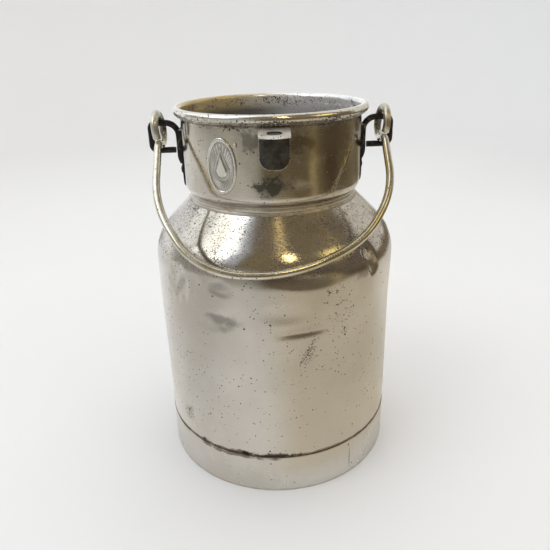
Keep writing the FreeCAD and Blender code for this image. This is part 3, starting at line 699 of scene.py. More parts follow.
def lugMaterial(name):
    # the shelf is rubbed bright, the plate under it is nearly black from tarnish and painted shade under the
    # shelf
    material, tree, shader, coords = startMaterial(name)
    m = lugLook
    place = useGroup(tree, placeGroup, Vector=coords)
    split = addNode(tree, "ShaderNodeSeparateXYZ", None, i0=coords)
    sideways = mathNode(tree, "ABSOLUTE", split.outputs[0])
    # dark over the plate's face, up to a thin painted highlight along its outline
    skin = rampNode(tree, place.outputs["Radius"], m["faceRadius"], m["faceRadius"] + 0.1 * mm, 1.0, 0.0)
    shelfLine = lugBox[1].z - m["shelfDepth"]
    below = rampNode(tree, place.outputs["Height"], shelfLine, shelfLine + 0.8 * mm, 1.0, 0.0)
    over = mathNode(tree, "MAXIMUM", minus(tree, sideways, m["cornerX"]), 0.0)
    under = mathNode(tree, "MINIMUM", minus(tree, split.outputs[2], lugBox[0].z + m["cornerRise"]), 0.0)
    reach = crossLength(tree, over, under)
    # random breaks in the painted highlight along the plate's outline
    edgeBreaks = rampNode(tree, noiseNode(tree, coords, 420.0, 3.0, 0.6, 4.0), 0.5, 0.58, 0.15, 0.8)
    face = rampNode(tree, reach, m["faceReach"], m["faceReach"] + 0.4 * mm, 1.0, 0.0)
    mottle = rampNode(tree, noiseNode(tree, coords, 130.0, 5.0, 0.65, 3.0), 0.3, 0.7, 0.8, 1.0)
    plate = times(tree, skin, below)
    dark = times(tree, times(tree, plate, mathNode(tree, "MAXIMUM", face, edgeBreaks)), mottle)
    cloud = rampNode(tree, noiseNode(tree, coords, 150.0, 4.0, 0.6, 1.0), 0.35, 0.7)
    colour = mixColour(tree, cloud, (0.80, 0.78, 0.72), (0.58, 0.54, 0.47))
    colour = mixColour(tree, dark, colour, (0.062, 0.066, 0.067))
    # painted shade on the slot's walls and a painted highlight on the shelf's lip
    endX = mathNode(tree, "MAXIMUM", minus(tree, sideways, m["slotX"]), 0.0)
    offY = times(tree, minus(tree, split.outputs[1], m["slotY"]), m["slotStretch"])
    slot = rampNode(tree, crossLength(tree, endX, offY), m["slotReach"], m["slotReach"] + 0.3 * mm, 1.0, 0.0)
    colour = mixColour(tree, slot, colour, (0.05, 0.047, 0.04))
    lip = rampNode(tree, split.outputs[1], m["lipY"], m["lipY"] + 0.8 * mm, 0.8, 0.0)
    colour = mixColour(tree, lip, colour, (0.92, 0.91, 0.87))
    pits = useGroup(tree, pitGroup, Vector=coords, Scale=600.0, Size=0.35, Amount=0.2).outputs[0]
    rough = plus(tree, rampNode(tree, dark, 0.0, 1.0, 0.3, 0.34), times(tree, pits, 0.3))
    setSurface(tree, shader, mixColour(tree, pits, colour, (0.06, 0.05, 0.04)),
               rampNode(tree, plate, 0.0, 1.0, 0.5, 1.0), rough)
    lumps = noiseNode(tree, coords, 240.0, 4.0, 0.6, 3.0)
    addBump(tree, shader, [(lumps, 0.3, 0.0005), (pits, -0.4, 0.0003)])
    return material


badgeLook = {"lowGround": 75.40 * mm, "highGround": 75.72 * mm}


def badgeMaterial(name):
    material, tree, shader, coords = startMaterial(name)
    place = useGroup(tree, placeGroup, Vector=coords)
    # dirt lies in the low ground of the stamping and the high ground is rubbed bright
    low = rampNode(tree, place.outputs["Radius"], badgeLook["lowGround"], badgeLook["highGround"], 1.0, 0.0)
    grain = noiseNode(tree, coords, 300.0, 4.0, 0.6, 2.0)
    dirt = times(tree, low, rampNode(tree, grain, 0.35, 0.65, 0.5, 1.0))
    colour = mixColour(tree, dirt, (0.84, 0.83, 0.80), (0.36, 0.35, 0.325))
    setSurface(tree, shader, colour, 1.0, rampNode(tree, dirt, 0.0, 1.0, 0.2, 0.45))
    addBump(tree, shader, [(grain, 0.2, 0.0004)])
    return material


bodySteel = steelMaterial("bodySteel", bodyLook)
collarSteel = steelMaterial("collarSteel", collarLook)
hoopSteel = steelMaterial("hoopSteel", hoopLook)
bottomSteel = steelMaterial("bottomSteel", bottomLook)
rustySolder = rustMaterial("rustySolder", (0.04, 0.03, 0.022), (0.60, 0.56, 0.49), 0.43, 45.0)
neckSolder = rustMaterial("neckSolder", (0.07, 0.05, 0.035), (0.62, 0.58, 0.52), 0.6, 90.0)
earIron = ironMaterial("earIron")
bailPlate = rodMaterial("bailPlate")
lugSteel = lugMaterial("lugSteel")
badgeMetal = badgeMaterial("badgeMetal")
print("materials ready")


# body shell
bodyShape = {"wall": 1.0 * mm, "shoulderStart": 193.2 * mm, "shoulderRound": 39.4 * mm, "slope": 45.0,
             "lift": 5.0 * mm, "hoopWall": 1.3 * mm, "seamRise": 0.9 * mm, "step": 1.9 * mm,
             "flange": 70.3 * mm, "dentsFrom": 1.0 * mm, "dentsFull": 20.0 * mm, "dentsFade": 236.0 * mm,
             "dentsEnd": 243.6 * mm, "turnOver": 28.0 * mm, "sway": 0.55 * mm, "ripple": 0.16 * mm}
dents = [
    # kind, degrees, height, half width, half height, lean in degrees, depth: all lengths in mm
    ("fold", 45.8, 203.5, 8.5, 14.0, 20.0, 6.2),
    ("dish", 12.0, 200.5, 24.0, 5.5, -4.0, 1.2),
    ("facet", -26.0, 194.0, 12.0, 5.5, -10.0, 1.1),
    ("facet", -26.0, 166.0, 17.0, 7.5, 14.0, 1.5),
    ("dish", 2.0, 174.0, 16.0, 7.0, 0.0, 0.85),
    ("crease", 10.0, 157.5, 23.0, 5.5, 3.0, 1.7),
    ("facet", -49.0, 188.0, 13.0, 15.0, -25.0, 1.5),
    ("dish", -39.0, 194.0, 7.0, 5.0, 0.0, 0.8),
    ("dish", 64.0, 150.0, 26.0, 30.0, 0.0, 0.8),
    ("dish", -62.0, 110.0, 22.0, 30.0, 0.0, 0.6),
    ("dish", 118.0, 168.0, 22.0, 16.0, 12.0, 1.6),
    ("dish", 170.0, 96.0, 30.0, 24.0, -20.0, 1.2),
    ("facet", 205.0, 176.0, 17.0, 11.0, 18.0, 1.0),
    ("dish", 250.0, 70.0, 20.0, 14.0, 0.0, 0.9),
]


def dentDepth(degrees, height, radius):
    total = 0.0
    for kind, centre, z, halfWidth, halfHeight, lean, depth in dents:
        turn = (degrees - centre + 180.0) % 360.0 - 180.0
        across = math.radians(turn) * radius / mm
        up = height / mm - z
        if abs(across) > 2.2 * halfWidth or abs(up) > 2.2 * halfHeight + 0.4 * halfWidth:
            continue
        tilt = math.radians(lean)
        u = (across * math.cos(tilt) + up * math.sin(tilt)) / halfWidth
        v = (up * math.cos(tilt) - across * math.sin(tilt)) / halfHeight
        if kind == "facet":
            # uneven outline, so no two look alike
            u += 0.45 * noise.noise(Vector((across * 0.12, up * 0.12, z)))
            v += 0.45 * noise.noise(Vector((across * 0.12, up * 0.12, z + 9)))
        reach = math.hypot(u, v)
        if kind == "dish":
            total += depth * max(0.0, 1 - reach * reach / 2.2) ** 2
        elif kind == "facet":
            total += depth * smoothStep(1.35, 0.45, reach) * (1 - 0.3 * v)
        elif kind == "crease":
            total += depth * max(0.0, 1 - abs(v)) ** 1.4 * max(0.0, 1 - u * u) ** 0.8
        elif kind == "fold":
            # two flat faces that meet in a sharp valley, with the metal pushed up beside it
            side = math.sqrt(u * u * (1.0 if u > 0 else 1.5) + 0.004)
            along = max(0.0, 1 - v * v) ** 1.5
            total += depth * max(0.0, 1 - side) * along
    return total * mm


def bodyOutline():
    s = bodyShape
    tuck = hoopRadius - s["hoopWall"]
    centre = (bodyRadius - s["shoulderRound"], s["shoulderStart"])
    lean = math.radians(s["slope"])
    flange = s["flange"]
    innerFlange = flange - s["wall"]
    edge = arcPoints(centre, s["shoulderRound"], s["slope"], s["slope"], 1)[0]
    neckPoint = (flange, edge[1] + (edge[0] - flange) / math.tan(lean))
    innerEdge = arcPoints(centre, s["shoulderRound"] - s["wall"], s["slope"], s["slope"], 1)[0]
    innerNeck = (innerFlange, innerEdge[1] + (innerEdge[0] - innerFlange) / math.tan(lean))
    rim = bodyBox[1].z
    step = s["step"]
    outside = joinRuns(linePoints((tuck, s["lift"]), (tuck, hoopTop), 6 * mm),
                       linePoints((tuck, hoopTop), (bodyRadius, hoopTop + s["seamRise"]), step),
                       linePoints((bodyRadius, hoopTop + s["seamRise"]), (bodyRadius, centre[1]), step),
                       arcPoints(centre, s["shoulderRound"], 0, s["slope"], 22),
                       linePoints(edge, neckPoint, step), linePoints(neckPoint, (flange, rim), 2 * mm))
    inside = joinRuns(linePoints((innerFlange, rim), innerNeck, 2 * mm),
                      linePoints(innerNeck, innerEdge, 2 * step),
                      arcPoints(centre, s["shoulderRound"] - s["wall"], s["slope"], 0, 14),
                      linePoints((bodyRadius - s["wall"], centre[1]),
                                 (bodyRadius - s["wall"], hoopTop + s["seamRise"]), 2.2 * step),
                      linePoints((tuck - s["wall"], hoopTop), (tuck - s["wall"], s["lift"]), 6 * mm))
    return joinRuns(outside, inside, [outside[0]])


def dentShell(piece):
    s = bodyShape
    for v in piece.data.vertices:
        co = v.co
        radius = math.hypot(co.x, co.y)
        low = smoothStep(hoopTop + s["dentsFrom"], hoopTop + s["dentsFull"], co.z)
        high = smoothStep(s["dentsEnd"], s["dentsFade"], co.z)
        depth = dentDepth(frontAngle(co), co.z, max(radius, 0.09))
        sway = noise.noise(co * 11.0) * s["sway"] + noise.noise(co * 26.0 + Vector((3, 1, 7))) * s["ripple"]
        shift = (depth + sway) * low * high
        tilt = math.radians(s["slope"] * min(1.0, max(0.0, (co.z - s["shoulderStart"]) / s["turnOver"])))
        out = Vector((co.x / radius * math.cos(tilt), co.y / radius * math.cos(tilt), math.sin(tilt)))
        v.co = co - out * shift


bodyShell = spinPiece("bodyShell", bodyOutline(), bodySteel, 460)
dentShell(bodyShell)
print("body shell", len(bodyShell.data.polygons))


# foot hoop, seams and bottom
hoopShape = {"wall": 1.3 * mm, "edgeRound": 0.45 * mm, "lapDegrees": 31.0, "lapWidth": 14.0 * mm,
             "lapRise": 0.8 * mm, "lapMargin": 3.0 * mm}


def hoopOutline():
    s = hoopShape
    r = s["edgeRound"]
    inner = hoopRadius - s["wall"]
    return joinRuns(arcPoints((hoopRadius - r, r), r, -90, 0, 4),
                    linePoints((hoopRadius, r), (hoopRadius, hoopTop - r), 2.2 * mm),
                    arcPoints((hoopRadius - r, hoopTop - r), r, 0, 90, 4),
                    linePoints((inner, hoopTop), (inner, 0.0), 6 * mm),
                    [(hoopRadius - r, 0.0)])


def dentHoop(piece):
    s = hoopShape
    halfSpan = math.degrees(s["lapWidth"] / hoopRadius) / 2
    for v in piece.data.vertices:
        co = v.co
        radius = math.hypot(co.x, co.y)
        if radius < hoopRadius - 0.9 * mm:
            continue
        turn = abs(frontAngle(co) - s["lapDegrees"])
        lap = smoothStep(halfSpan + 0.35, halfSpan, turn)
        lap *= smoothStep(s["lapMargin"] - 0.8 * mm, s["lapMargin"], co.z)
        lap *= smoothStep(hoopTop - s["lapMargin"] + 0.8 * mm, hoopTop - s["lapMargin"], co.z)
        sway = noise.noise(co * 14.0) * 0.25 * mm
        middle = smoothStep(0.001, 0.012, co.z) * smoothStep(hoopTop - 0.001, hoopTop - 0.01, co.z)
        scale = (radius + lap * 0.55 * s["lapRise"] - abs(sway) * middle) / radius
        v.co = Vector((co.x * scale, co.y * scale, co.z))


baseHoop = spinPiece("baseHoop", hoopOutline(), hoopSteel, 720)
dentHoop(baseHoop)

tuckRadius = hoopRadius - hoopShape["wall"]
hoopSeamShape = {"footInset": 0.15 * mm, "bulgeInset": 0.25 * mm, "bulgeRise": 0.35 * mm,
                 "topRise": 0.95 * mm, "backRise": 0.9 * mm, "waver": 0.5 * mm, "thinning": 0.9}


def hoopSeamOutline():
    s = hoopSeamShape
    return [(tuckRadius + 0.2 * mm, hoopTop - 0.02 * mm), (hoopRadius - s["footInset"], hoopTop),
            (hoopRadius - s["bulgeInset"], hoopTop + s["bulgeRise"]),
            (bodyRadius + 0.05 * mm, hoopTop + s["topRise"]),
            (bodyRadius - 0.35 * mm, hoopTop + s["backRise"])]


hoopSeam = spinPiece("hoopSeam", hoopSeamOutline(), rustySolder, 720, hoopSeamShape["waver"], 260.0, 3.0)


def thinSeam(piece):
    # the rust line swells and dies away round the can
    for v in piece.data.vertices:
        co = v.co
        radius = math.hypot(co.x, co.y)
        swell = noise.noise(Vector((co.x * 22, co.y * 22, 3.0)))
        swell += 0.6 * noise.noise(Vector((co.x * 70, co.y * 70, 9.0)))
        share = smoothStep(-0.5, 0.6, swell)
        scale = 1 - (1 - share) * max(0.0, radius - bodyRadius) * hoopSeamShape["thinning"] / radius
        v.co = Vector((co.x * scale, co.y * scale, co.z - (1 - share) * 0.5 * max(0.0, co.z - hoopTop)))


thinSeam(hoopSeam)

plateEdge = plateBox[1].x
plateTop = plateBox[1].z
bottomShape = {"edgeTop": 10.0 * mm, "wall": 1.0 * mm, "bend": 3.0 * mm}


def bottomOutline():
    s = bottomShape
    flat = plateEdge - s["bend"]
    rise = plateTop - s["edgeTop"]
    ball = (flat ** 2 + rise ** 2) / (2 * rise)

    def dish(r, depth):
        return plateTop - depth - (ball - math.sqrt(ball * ball - r * r))

    rings = [flat * (1 - i / 24) for i in range(24)] + [0.0006]
    top = [(r, dish(r, 0.0)) for r in rings]
    under = [(r, dish(r, s["wall"])) for r in reversed(rings)]
    bendCentre = (flat, s["edgeTop"] - s["bend"])
    return joinRuns([(plateEdge, plateBox[0].z)], arcPoints(bendCentre, s["bend"], 0, 90, 8), top, under,
                    arcPoints(bendCentre, s["bend"] - s["wall"], 90, 0, 6),
                    [(plateEdge - s["wall"], plateBox[0].z)])


def closePole(piece):
    # fills the pin hole that is left on the axis
    work = bmesh.new()
    work.from_mesh(piece.data)
    near = [v for v in work.verts if math.hypot(v.co.x, v.co.y) < 0.0007]
    for v in near:
        v.co.x = 0.0
        v.co.y = 0.0
    bmesh.ops.remove_doubles(work, verts=work.verts, dist=2e-5)
    bmesh.ops.recalc_face_normals(work, faces=work.faces)
    work.to_mesh(piece.data)
    work.free()


bottomPlate = spinPiece("bottomPlate", bottomOutline(), bottomSteel, 192, 0.25 * mm, 22.0, 5.0)
closePole(bottomPlate)

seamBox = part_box("bottom_seam")
seamCentre = (plateEdge - bottomShape["bend"], bottomShape["edgeTop"] - bottomShape["bend"])
bottomSeam = spinPiece("bottomSeam", joinRuns(arcPoints(seamCentre, bottomShape["bend"], 20, 80, 6),
                                              [(plateEdge, seamBox[1].z), (plateEdge, seamBox[0].z)]),
                       neckSolder, 256, 0.25 * mm, 90.0, 2.0)
print("foot ready")


# collar with its curled rim
collarShape = {"radius": 75.0 * mm, "wall": 1.2 * mm, "sleeve": 71.5 * mm, "sleeveTop": neckZ + 4.3 * mm,
               "curve": 8.0 * mm, "bead": 3.4 * mm, "curlEnd": -118.0, "sway": 0.22 * mm}
collarDents = [
    # degrees, height, half width, half height, depth: all lengths in mm
    (36.0, 300.0, 14.0, 9.0, 0.12), (-52.0, 272.0, 16.0, 16.0, 0.45), (12.0, 262.0, 14.0, 6.0, 0.35),
    (70.0, 285.0, 16.0, 18.0, 0.6), (128.0, 290.0, 20.0, 14.0, 0.7), (201.0, 275.0, 18.0, 12.0, 0.6),
    (-110.0, 282.0, 15.0, 20.0, 0.5),
]


def collarOutline():
    s = collarShape
    curveTop = s["sleeveTop"] + s["curve"]
    inset = s["radius"] - s["sleeve"]
    curve = (s["curve"] ** 2 + inset ** 2) / (2 * inset)
    centre = (s["radius"] - curve, curveTop)
    outerTurn = math.degrees(math.acos((s["sleeve"] - centre[0]) / curve))
    innerTurn = math.degrees(math.acos((s["sleeve"] - s["wall"] - centre[0]) / (curve - s["wall"])))
    inner = s["radius"] - s["wall"]
    bead = (inner + s["bead"], topZ - s["bead"])
    return joinRuns([(s["sleeve"] - s["wall"], neckZ), (s["sleeve"] - 0.3 * mm, neckZ),
                     (s["sleeve"], neckZ + 0.3 * mm)],
                    linePoints((s["sleeve"], neckZ + 0.3 * mm), (s["sleeve"], s["sleeveTop"]), 0.9 * mm),
                    arcPoints(centre, curve, -outerTurn, 0, 12),
                    linePoints((s["radius"], curveTop), (s["radius"], bead[1]), 1.8 * mm),
                    arcPoints(bead, s["bead"] - s["wall"], 180, s["curlEnd"], 26),
                    arcPoints(bead, s["bead"], s["curlEnd"], 180, 40),
                    linePoints((inner, bead[1]), (inner, curveTop), 2.6 * mm),
                    arcPoints(centre, curve - s["wall"], 0, -innerTurn, 8),
                    [(s["sleeve"] - s["wall"], neckZ)])


def dentCollar(piece):
    low = collarShape["sleeveTop"]
    for v in piece.data.vertices:
        co = v.co
        radius = math.hypot(co.x, co.y)
        degrees = frontAngle(co)
        depth = 0.0
        for centre, z, halfWidth, halfHeight, deep in collarDents:
            turn = (degrees - centre + 180.0) % 360.0 - 180.0
            u = math.radians(turn) * radius / mm / halfWidth
            w = (co.z / mm - z) / halfHeight
            depth += deep * max(0.0, 1 - (u * u + w * w) / 2) ** 2
        free = smoothStep(low + 0.001, low + 0.012, co.z) * smoothStep(topZ - 0.002, topZ - 0.014, co.z)
        # the collar keeps its shape under the lug and the ears
        quiet = 1.0 - 0.9 * smoothStep(15.0, 9.0, abs(degrees))
        quiet -= 0.9 * smoothStep(18.0, 11.0, abs(abs(degrees) - 90.0))
        sway = noise.noise(co * 17.0) * collarShape["sway"]
        rimSway = noise.noise(co * 22.0 + Vector((5, 0, 2))) * collarShape["sway"]
        rimSway *= smoothStep(topZ - 0.008, topZ - 0.004, co.z)
        scale = (radius - (depth * mm * 0.8 + sway) * free * max(0.0, quiet)) / radius
        v.co = Vector((co.x * scale, co.y * scale, co.z - max(0.0, rimSway)))


neckCollar = spinPiece("neckCollar", collarOutline(), collarSteel, 320)
dentCollar(neckCollar)

beadPlace = (collarShape["radius"] - collarShape["wall"] + collarShape["bead"], topZ - collarShape["bead"])
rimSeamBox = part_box("rim_seam")
rimSeamShape = {"back": 0.3 * mm, "swell": 1.6 * mm, "swellRise": 1.2 * mm, "tipOut": 0.9 * mm,
                "tipRise": 2.2 * mm, "waver": 0.45 * mm}


def rimSeamOutline():
    s = rimSeamShape
    wall = collarShape["radius"]
    low = rimSeamBox[0].z
    return joinRuns(linePoints((wall - s["back"], low), (wall + s["swell"], low + s["swellRise"]), 0.5 * mm),
                    [(beadPlace[0] + s["tipOut"], low + s["tipRise"])],
                    arcPoints(beadPlace, collarShape["bead"] - 0.1 * mm, -68, -122, 8),
                    [(wall - s["back"], rimSeamBox[1].z)])


rimSeam = spinPiece("rimSeam", rimSeamOutline(), collarSteel, 480, rimSeamShape["waver"], 120.0, 8.0)

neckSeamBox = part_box("neck_seam")
neckSeamShape = {"back": 0.9 * mm, "drop": 1.3 * mm, "toeOut": 1.1 * mm, "faceOut": 0.75 * mm,
                 "faceRise": 0.7 * mm, "waver": 0.35 * mm}


def neckSeamOutline():
    s = neckSeamShape
    sleeve = collarShape["sleeve"]
    low = neckSeamBox[0].z
    return [(sleeve - s["back"], neckZ + 0.1 * mm), (sleeve - 0.2 * mm, neckZ - s["drop"]),
            (sleeve + s["toeOut"], low - 0.05 * mm), (sleeve + s["faceOut"], low + s["faceRise"]),
            (sleeve + 0.15 * mm, neckZ - 0.1 * mm), (sleeve, neckZ + 0.1 * mm)]


neckSeam = spinPiece("neckSeam", neckSeamOutline(), neckSolder, 480, neckSeamShape["waver"], 150.0, 4.0)
print("collar ready")


# lock lug
lugShape = {"half": 11.4 * mm, "wall": 2.0 * mm, "corner": 9.0 * mm, "reach": 14.0 * mm, "bulge": 2.0 * mm,
            "droop": 15.0, "slotLength": 10.0 * mm, "slotWidth": 4.8 * mm, "slotCentre": 8.0 * mm,
            "soft": 0.35 * mm, "plateSoft": 0.55 * mm, "shelfZ": 307.86 * mm}


def curvedPlate(name, halfWidth, lowEdge, high, inner, thickness, grid, material, centreDegrees, soft):
    # plate that hugs the collar; lowEdge gives the lower outline for each place across
    columns, rows = grid
    mesh = bpy.data.meshes.new(name)
    work = bmesh.new()
    layers = []
    for layer in range(2):
        sheet = []
        for i in range(columns + 1):
            share = 0.6 * math.sin((i / columns - 0.5) * math.pi) + 0.8 * (i / columns - 0.5)
            across = share * halfWidth
            low = lowEdge(across)
            column = []
            for j in range(rows + 1):
                z = low + (high - low) * j / rows
                radius = inner(z) + (thickness(z) if layer else 0.0)
                turn = centreDegrees + math.degrees(math.asin(across / radius))
                column.append(work.verts.new(onCan(turn, radius, z)))
            sheet.append(column)
        layers.append(sheet)
    for layer in range(2):
        g = layers[layer]
        for i in range(columns):
            for j in range(rows):
                work.faces.new((g[i][j], g[i + 1][j], g[i + 1][j + 1], g[i][j + 1]))
    a, b = layers
    for i in range(columns):
        work.faces.new((a[i][0], b[i][0], b[i + 1][0], a[i + 1][0]))
        work.faces.new((a[i][rows], a[i + 1][rows], b[i + 1][rows], b[i][rows]))
    for j in range(rows):
        work.faces.new((a[0][j], a[0][j + 1], b[0][j + 1], b[0][j]))
        work.faces.new((a[columns][j], b[columns][j], b[columns][j + 1], a[columns][j + 1]))
    bmesh.ops.recalc_face_normals(work, faces=work.faces)
    work.to_mesh(mesh)
    work.free()
    piece = linkObject(name, mesh)
    softenEdges(piece, soft)
    piece.data.materials.append(material)
    return piece


def softenEdges(piece, width):
    bevel = piece.modifiers.new("soft", "BEVEL")
    bevel.width = width
    bevel.segments = 3
    bevel.limit_method = "ANGLE"
    bevel.angle_limit = math.radians(40.0)
    bevel.use_clamp_overlap = True
    applyModifiers(piece)


def applyModifiers(piece):
    graph = bpy.context.evaluated_depsgraph_get()
    result = bpy.data.meshes.new_from_object(piece.evaluated_get(graph), depsgraph=graph)
    piece.modifiers.clear()
    piece.data = result
    result.shade_smooth()


def roundedLow(half, corner, bottom):
    def low(across):
        over = abs(across) - (half - corner)
        if over <= 0:
            return bottom
        return bottom + corner - math.sqrt(max(0.0, corner * corner - over * over))
    return low


def makeShelf(material):
    s = lugShape
    outline = bpy.data.curves.new("lugShelf", "CURVE")
    outline.dimensions = "2D"
    outline.fill_mode = "BOTH"
    outline.extrude = s["wall"] / 2 - s["soft"]
    outline.bevel_depth = s["soft"]
    outline.bevel_resolution = 3
    outline.offset = -s["soft"]
    bow = (s["half"] ** 2 + s["bulge"] ** 2) / (2 * s["bulge"])
    swing = math.degrees(math.asin(s["half"] / bow))
    edge = [(-s["half"], 3.0 * mm), (s["half"], 3.0 * mm)]
    edge += [(x, -y) for x, y in arcPoints((0.0, s["reach"] - bow), bow, 90 - swing, 90 + swing, 20)]
    end = (s["slotLength"] - s["slotWidth"]) / 2
    radius = s["slotWidth"] / 2
    slot = [(x, -y) for x, y in arcPoints((end, s["slotCentre"]), radius, -90, 90, 12)
            + arcPoints((-end, s["slotCentre"]), radius, 90, 270, 12)]
    for points in (edge, slot):
        spline = outline.splines.new("POLY")
        spline.points.add(len(points) - 1)
        for point, (x, y) in zip(spline.points, points):
            point.co = (x, y, 0.0, 1.0)
        spline.use_cyclic_u = True
    holder = linkObject("lugShelf", outline)
    graph = bpy.context.evaluated_depsgraph_get()
    mesh = bpy.data.meshes.new_from_object(holder.evaluated_get(graph), depsgraph=graph)
    bpy.data.objects.remove(holder)
    # droops from the collar: the plate lies just under its upper back edge
    place = (Matrix.Translation((0, -collarShape["radius"], s["shelfZ"]))
             @ Matrix.Rotation(math.radians(s["droop"]), 4, "X")
             @ Matrix.Translation((0, 0, -s["wall"] / 2)))
    mesh.transform(place)
    tidyMesh(mesh, 2e-6)
    mesh.materials.clear()
    mesh.materials.append(material)
    # the back edge is pressed against the collar
    for v in mesh.vertices:
        radius = math.hypot(v.co.x, v.co.y)
        least = collarShape["radius"] - 0.25 * mm
        if radius < least:
            v.co.x *= least / radius
            v.co.y *= least / radius
    return linkObject("lugShelf", mesh)


def joinPieces(name, parts):
    work = bmesh.new()
    for part in parts:
        work.from_mesh(part.data)
    mesh = bpy.data.meshes.new(name)
    work.to_mesh(mesh)
    work.free()
    mesh.materials.append(parts[0].data.materials[0])
    for part in parts:
        bpy.data.objects.remove(part)
    mesh.shade_smooth()
    return linkObject(name, mesh)


lugLow = roundedLow(lugShape["half"], lugShape["corner"], lugBox[0].z)
lugPlate = curvedPlate("lugPlate", lugShape["half"], lugLow, lugShape["shelfZ"] - 1.5 * mm,
                       lambda z: collarShape["radius"] - 0.1 * mm, lambda z: lugShape["wall"] + 0.1 * mm,
                       (48, 24), lugSteel, 0.0, lugShape["plateSoft"])
lugShelf = makeShelf(lugSteel)
lockLug = joinPieces("lockLug", [lugPlate, lugShelf])
print("lug ready")


# badge and stud
badgeShape = {"degrees": -31.7, "halfWidth": 13.0 * mm, "wall": 0.9 * mm, "relief": 0.5 * mm,
              "border": 2.2 * mm, "dropRadius": 4.6 * mm, "dropTip": 12.2 * mm, "dropDown": 3.4 * mm,
              "rays": 44, "rayRise": 0.36 * mm, "rings": 60, "sides": 264, "beads": 52,
              "beadRadius": 0.62 * mm, "beadInset": 1.05 * mm}
studShape = {"degrees": -22.1, "radius": 1.3 * mm, "rise": 1.5 * mm, "spread": 0.8 * mm}


def dropDistance(x, y, radius, tip):
    # how far a place lies outside a drop: a disc with two straight sides that meet at the tip
    lean = math.asin(radius / tip)
    reach = math.hypot(x, y) - radius
    if y > radius * math.sin(lean):
        side = (tip - y) * math.sin(lean)
        return abs(x) * math.cos(lean) - side
    return reach


def badgeHeight(x, y, inset):
    s = badgeShape
    height = 0.45 * s["wall"]
    rim = math.exp(-((inset - 0.5 * s["border"]) / (0.42 * s["border"])) ** 4)
    height += 0.6 * mm * rim
    drop = dropDistance(x, y + s["dropDown"], s["dropRadius"], s["dropTip"])
    height += (s["relief"] + 0.3 * s["wall"]) * smoothStep(0.5 * mm, -0.9 * mm, drop)
    ring = dropDistance(x, y + s["dropDown"], s["dropRadius"] + 1.7 * mm, s["dropTip"] + 4.2 * mm)
    height += 0.30 * mm * math.exp(-(ring / (0.35 * mm)) ** 2)
    # fine rays round the drop, like those of a struck medal
    turn = math.atan2(y + s["dropDown"], x)
    field = smoothStep(0.8 * mm, 1.6 * mm, ring) * smoothStep(1.15 * s["border"], 1.6 * s["border"], inset)
    height += s["rayRise"] * field * (0.5 + 0.5 * math.cos(turn * s["rays"]))
    return height


def makeBadge(material):
    s = badgeShape
    halfHeight = (badgeBox[1].z - badgeBox[0].z) / 2
    middle = (badgeBox[1].z + badgeBox[0].z) / 2
    work = bmesh.new()
    rows = []
    for i in range(s["rings"] + 1):
        share = i / s["rings"]
        row = []
        for j in range(s["sides"]):
            turn = full * j / s["sides"]
            x = share * s["halfWidth"] * math.cos(turn)
            y = share * halfHeight * math.sin(turn)
            inset = (1 - share) * s["halfWidth"] * (1 + 0.25 * abs(math.sin(turn)))
            height = badgeHeight(x, y, inset)
            radius = collarShape["radius"] + height
            bend = s["degrees"] + math.degrees(x / collarShape["radius"])
            row.append(work.verts.new(onCan(bend, radius, middle + y)))
            if i == 0:
                break
        rows.append(row)
    foot = []
    for j in range(s["sides"]):
        turn = full * j / s["sides"]
        bend = s["degrees"] + math.degrees(s["halfWidth"] * math.cos(turn) / collarShape["radius"])
        place = onCan(bend, collarShape["radius"] - 0.35 * mm, middle + halfHeight * math.sin(turn))
        foot.append(work.verts.new(place))
    rows.append(foot)
    n = s["sides"]
    for j in range(n):
        work.faces.new((rows[0][0], rows[1][j], rows[1][(j + 1) % n]))
        for i in range(1, len(rows) - 1):
            work.faces.new((rows[i][j], rows[i + 1][j], rows[i + 1][(j + 1) % n], rows[i][(j + 1) % n]))
    work.faces.new(list(reversed(foot)))
    bmesh.ops.recalc_face_normals(work, faces=work.faces)
    mesh = bpy.data.meshes.new("badge")
    work.to_mesh(mesh)
    work.free()
    mesh.shade_smooth()
    mesh.materials.append(material)
    return linkObject("badgePlate", mesh)


def headsPiece(name, places, radius, rise, material, waver=0.0):
    mesh = bpy.data.meshes.new(name)
    mesh.from_pydata([p for p, way in places], [], [])
    ways = mesh.attributes.new("way", "FLOAT_VECTOR", "POINT")
    for entry, (p, way) in zip(ways.data, places):
        entry.vector = way
    return bakeNodes(name, mesh, headTree, {"Head Radius": radius, "Rise": rise, "Waver": waver,
                                            "Wave Scale": 250.0, "Seed": 3.0, "Material": material})


def beadPlaces():
    s = badgeShape
    middle = (badgeBox[1].z + badgeBox[0].z) / 2
    halfHeight = (badgeBox[1].z - badgeBox[0].z) / 2 - s["beadInset"]
    halfWidth = s["halfWidth"] - s["beadInset"]
    places = []
    for i in range(s["beads"]):
        turn = full * i / s["beads"]
        turn -= 0.16 * math.sin(2 * turn)  # evens out the spacing round the oval
        bend = s["degrees"] + math.degrees(halfWidth * math.cos(turn) / collarShape["radius"])
        places.append((onCan(bend, collarShape["radius"] + 1.0 * mm, middle + halfHeight * math.sin(turn)),
                       onCan(bend, 1.0, 0.0)))
    return places


beadRadius = badgeShape["beadRadius"]
badgeBeads = headsPiece("badgeBeads", beadPlaces(), beadRadius, beadRadius, badgeMetal)
badgePlate = joinPieces("badgePlate", [makeBadge(badgeMetal), badgeBeads])


def studPlaces():
    # three balls on a line melt into one upright stud
    middle = (studBox[0].z + studBox[1].z) / 2
    way = onCan(studShape["degrees"], 1.0, 0.0)
    radius = collarShape["radius"] + 0.1 * mm
    return [(onCan(studShape["degrees"], radius, middle + step * studShape["spread"]), way)
            for step in (-1, 0, 1)]


badgeStud = headsPiece("badgeStud", studPlaces(), studShape["radius"], studShape["rise"], badgeMetal)
print("badge ready")


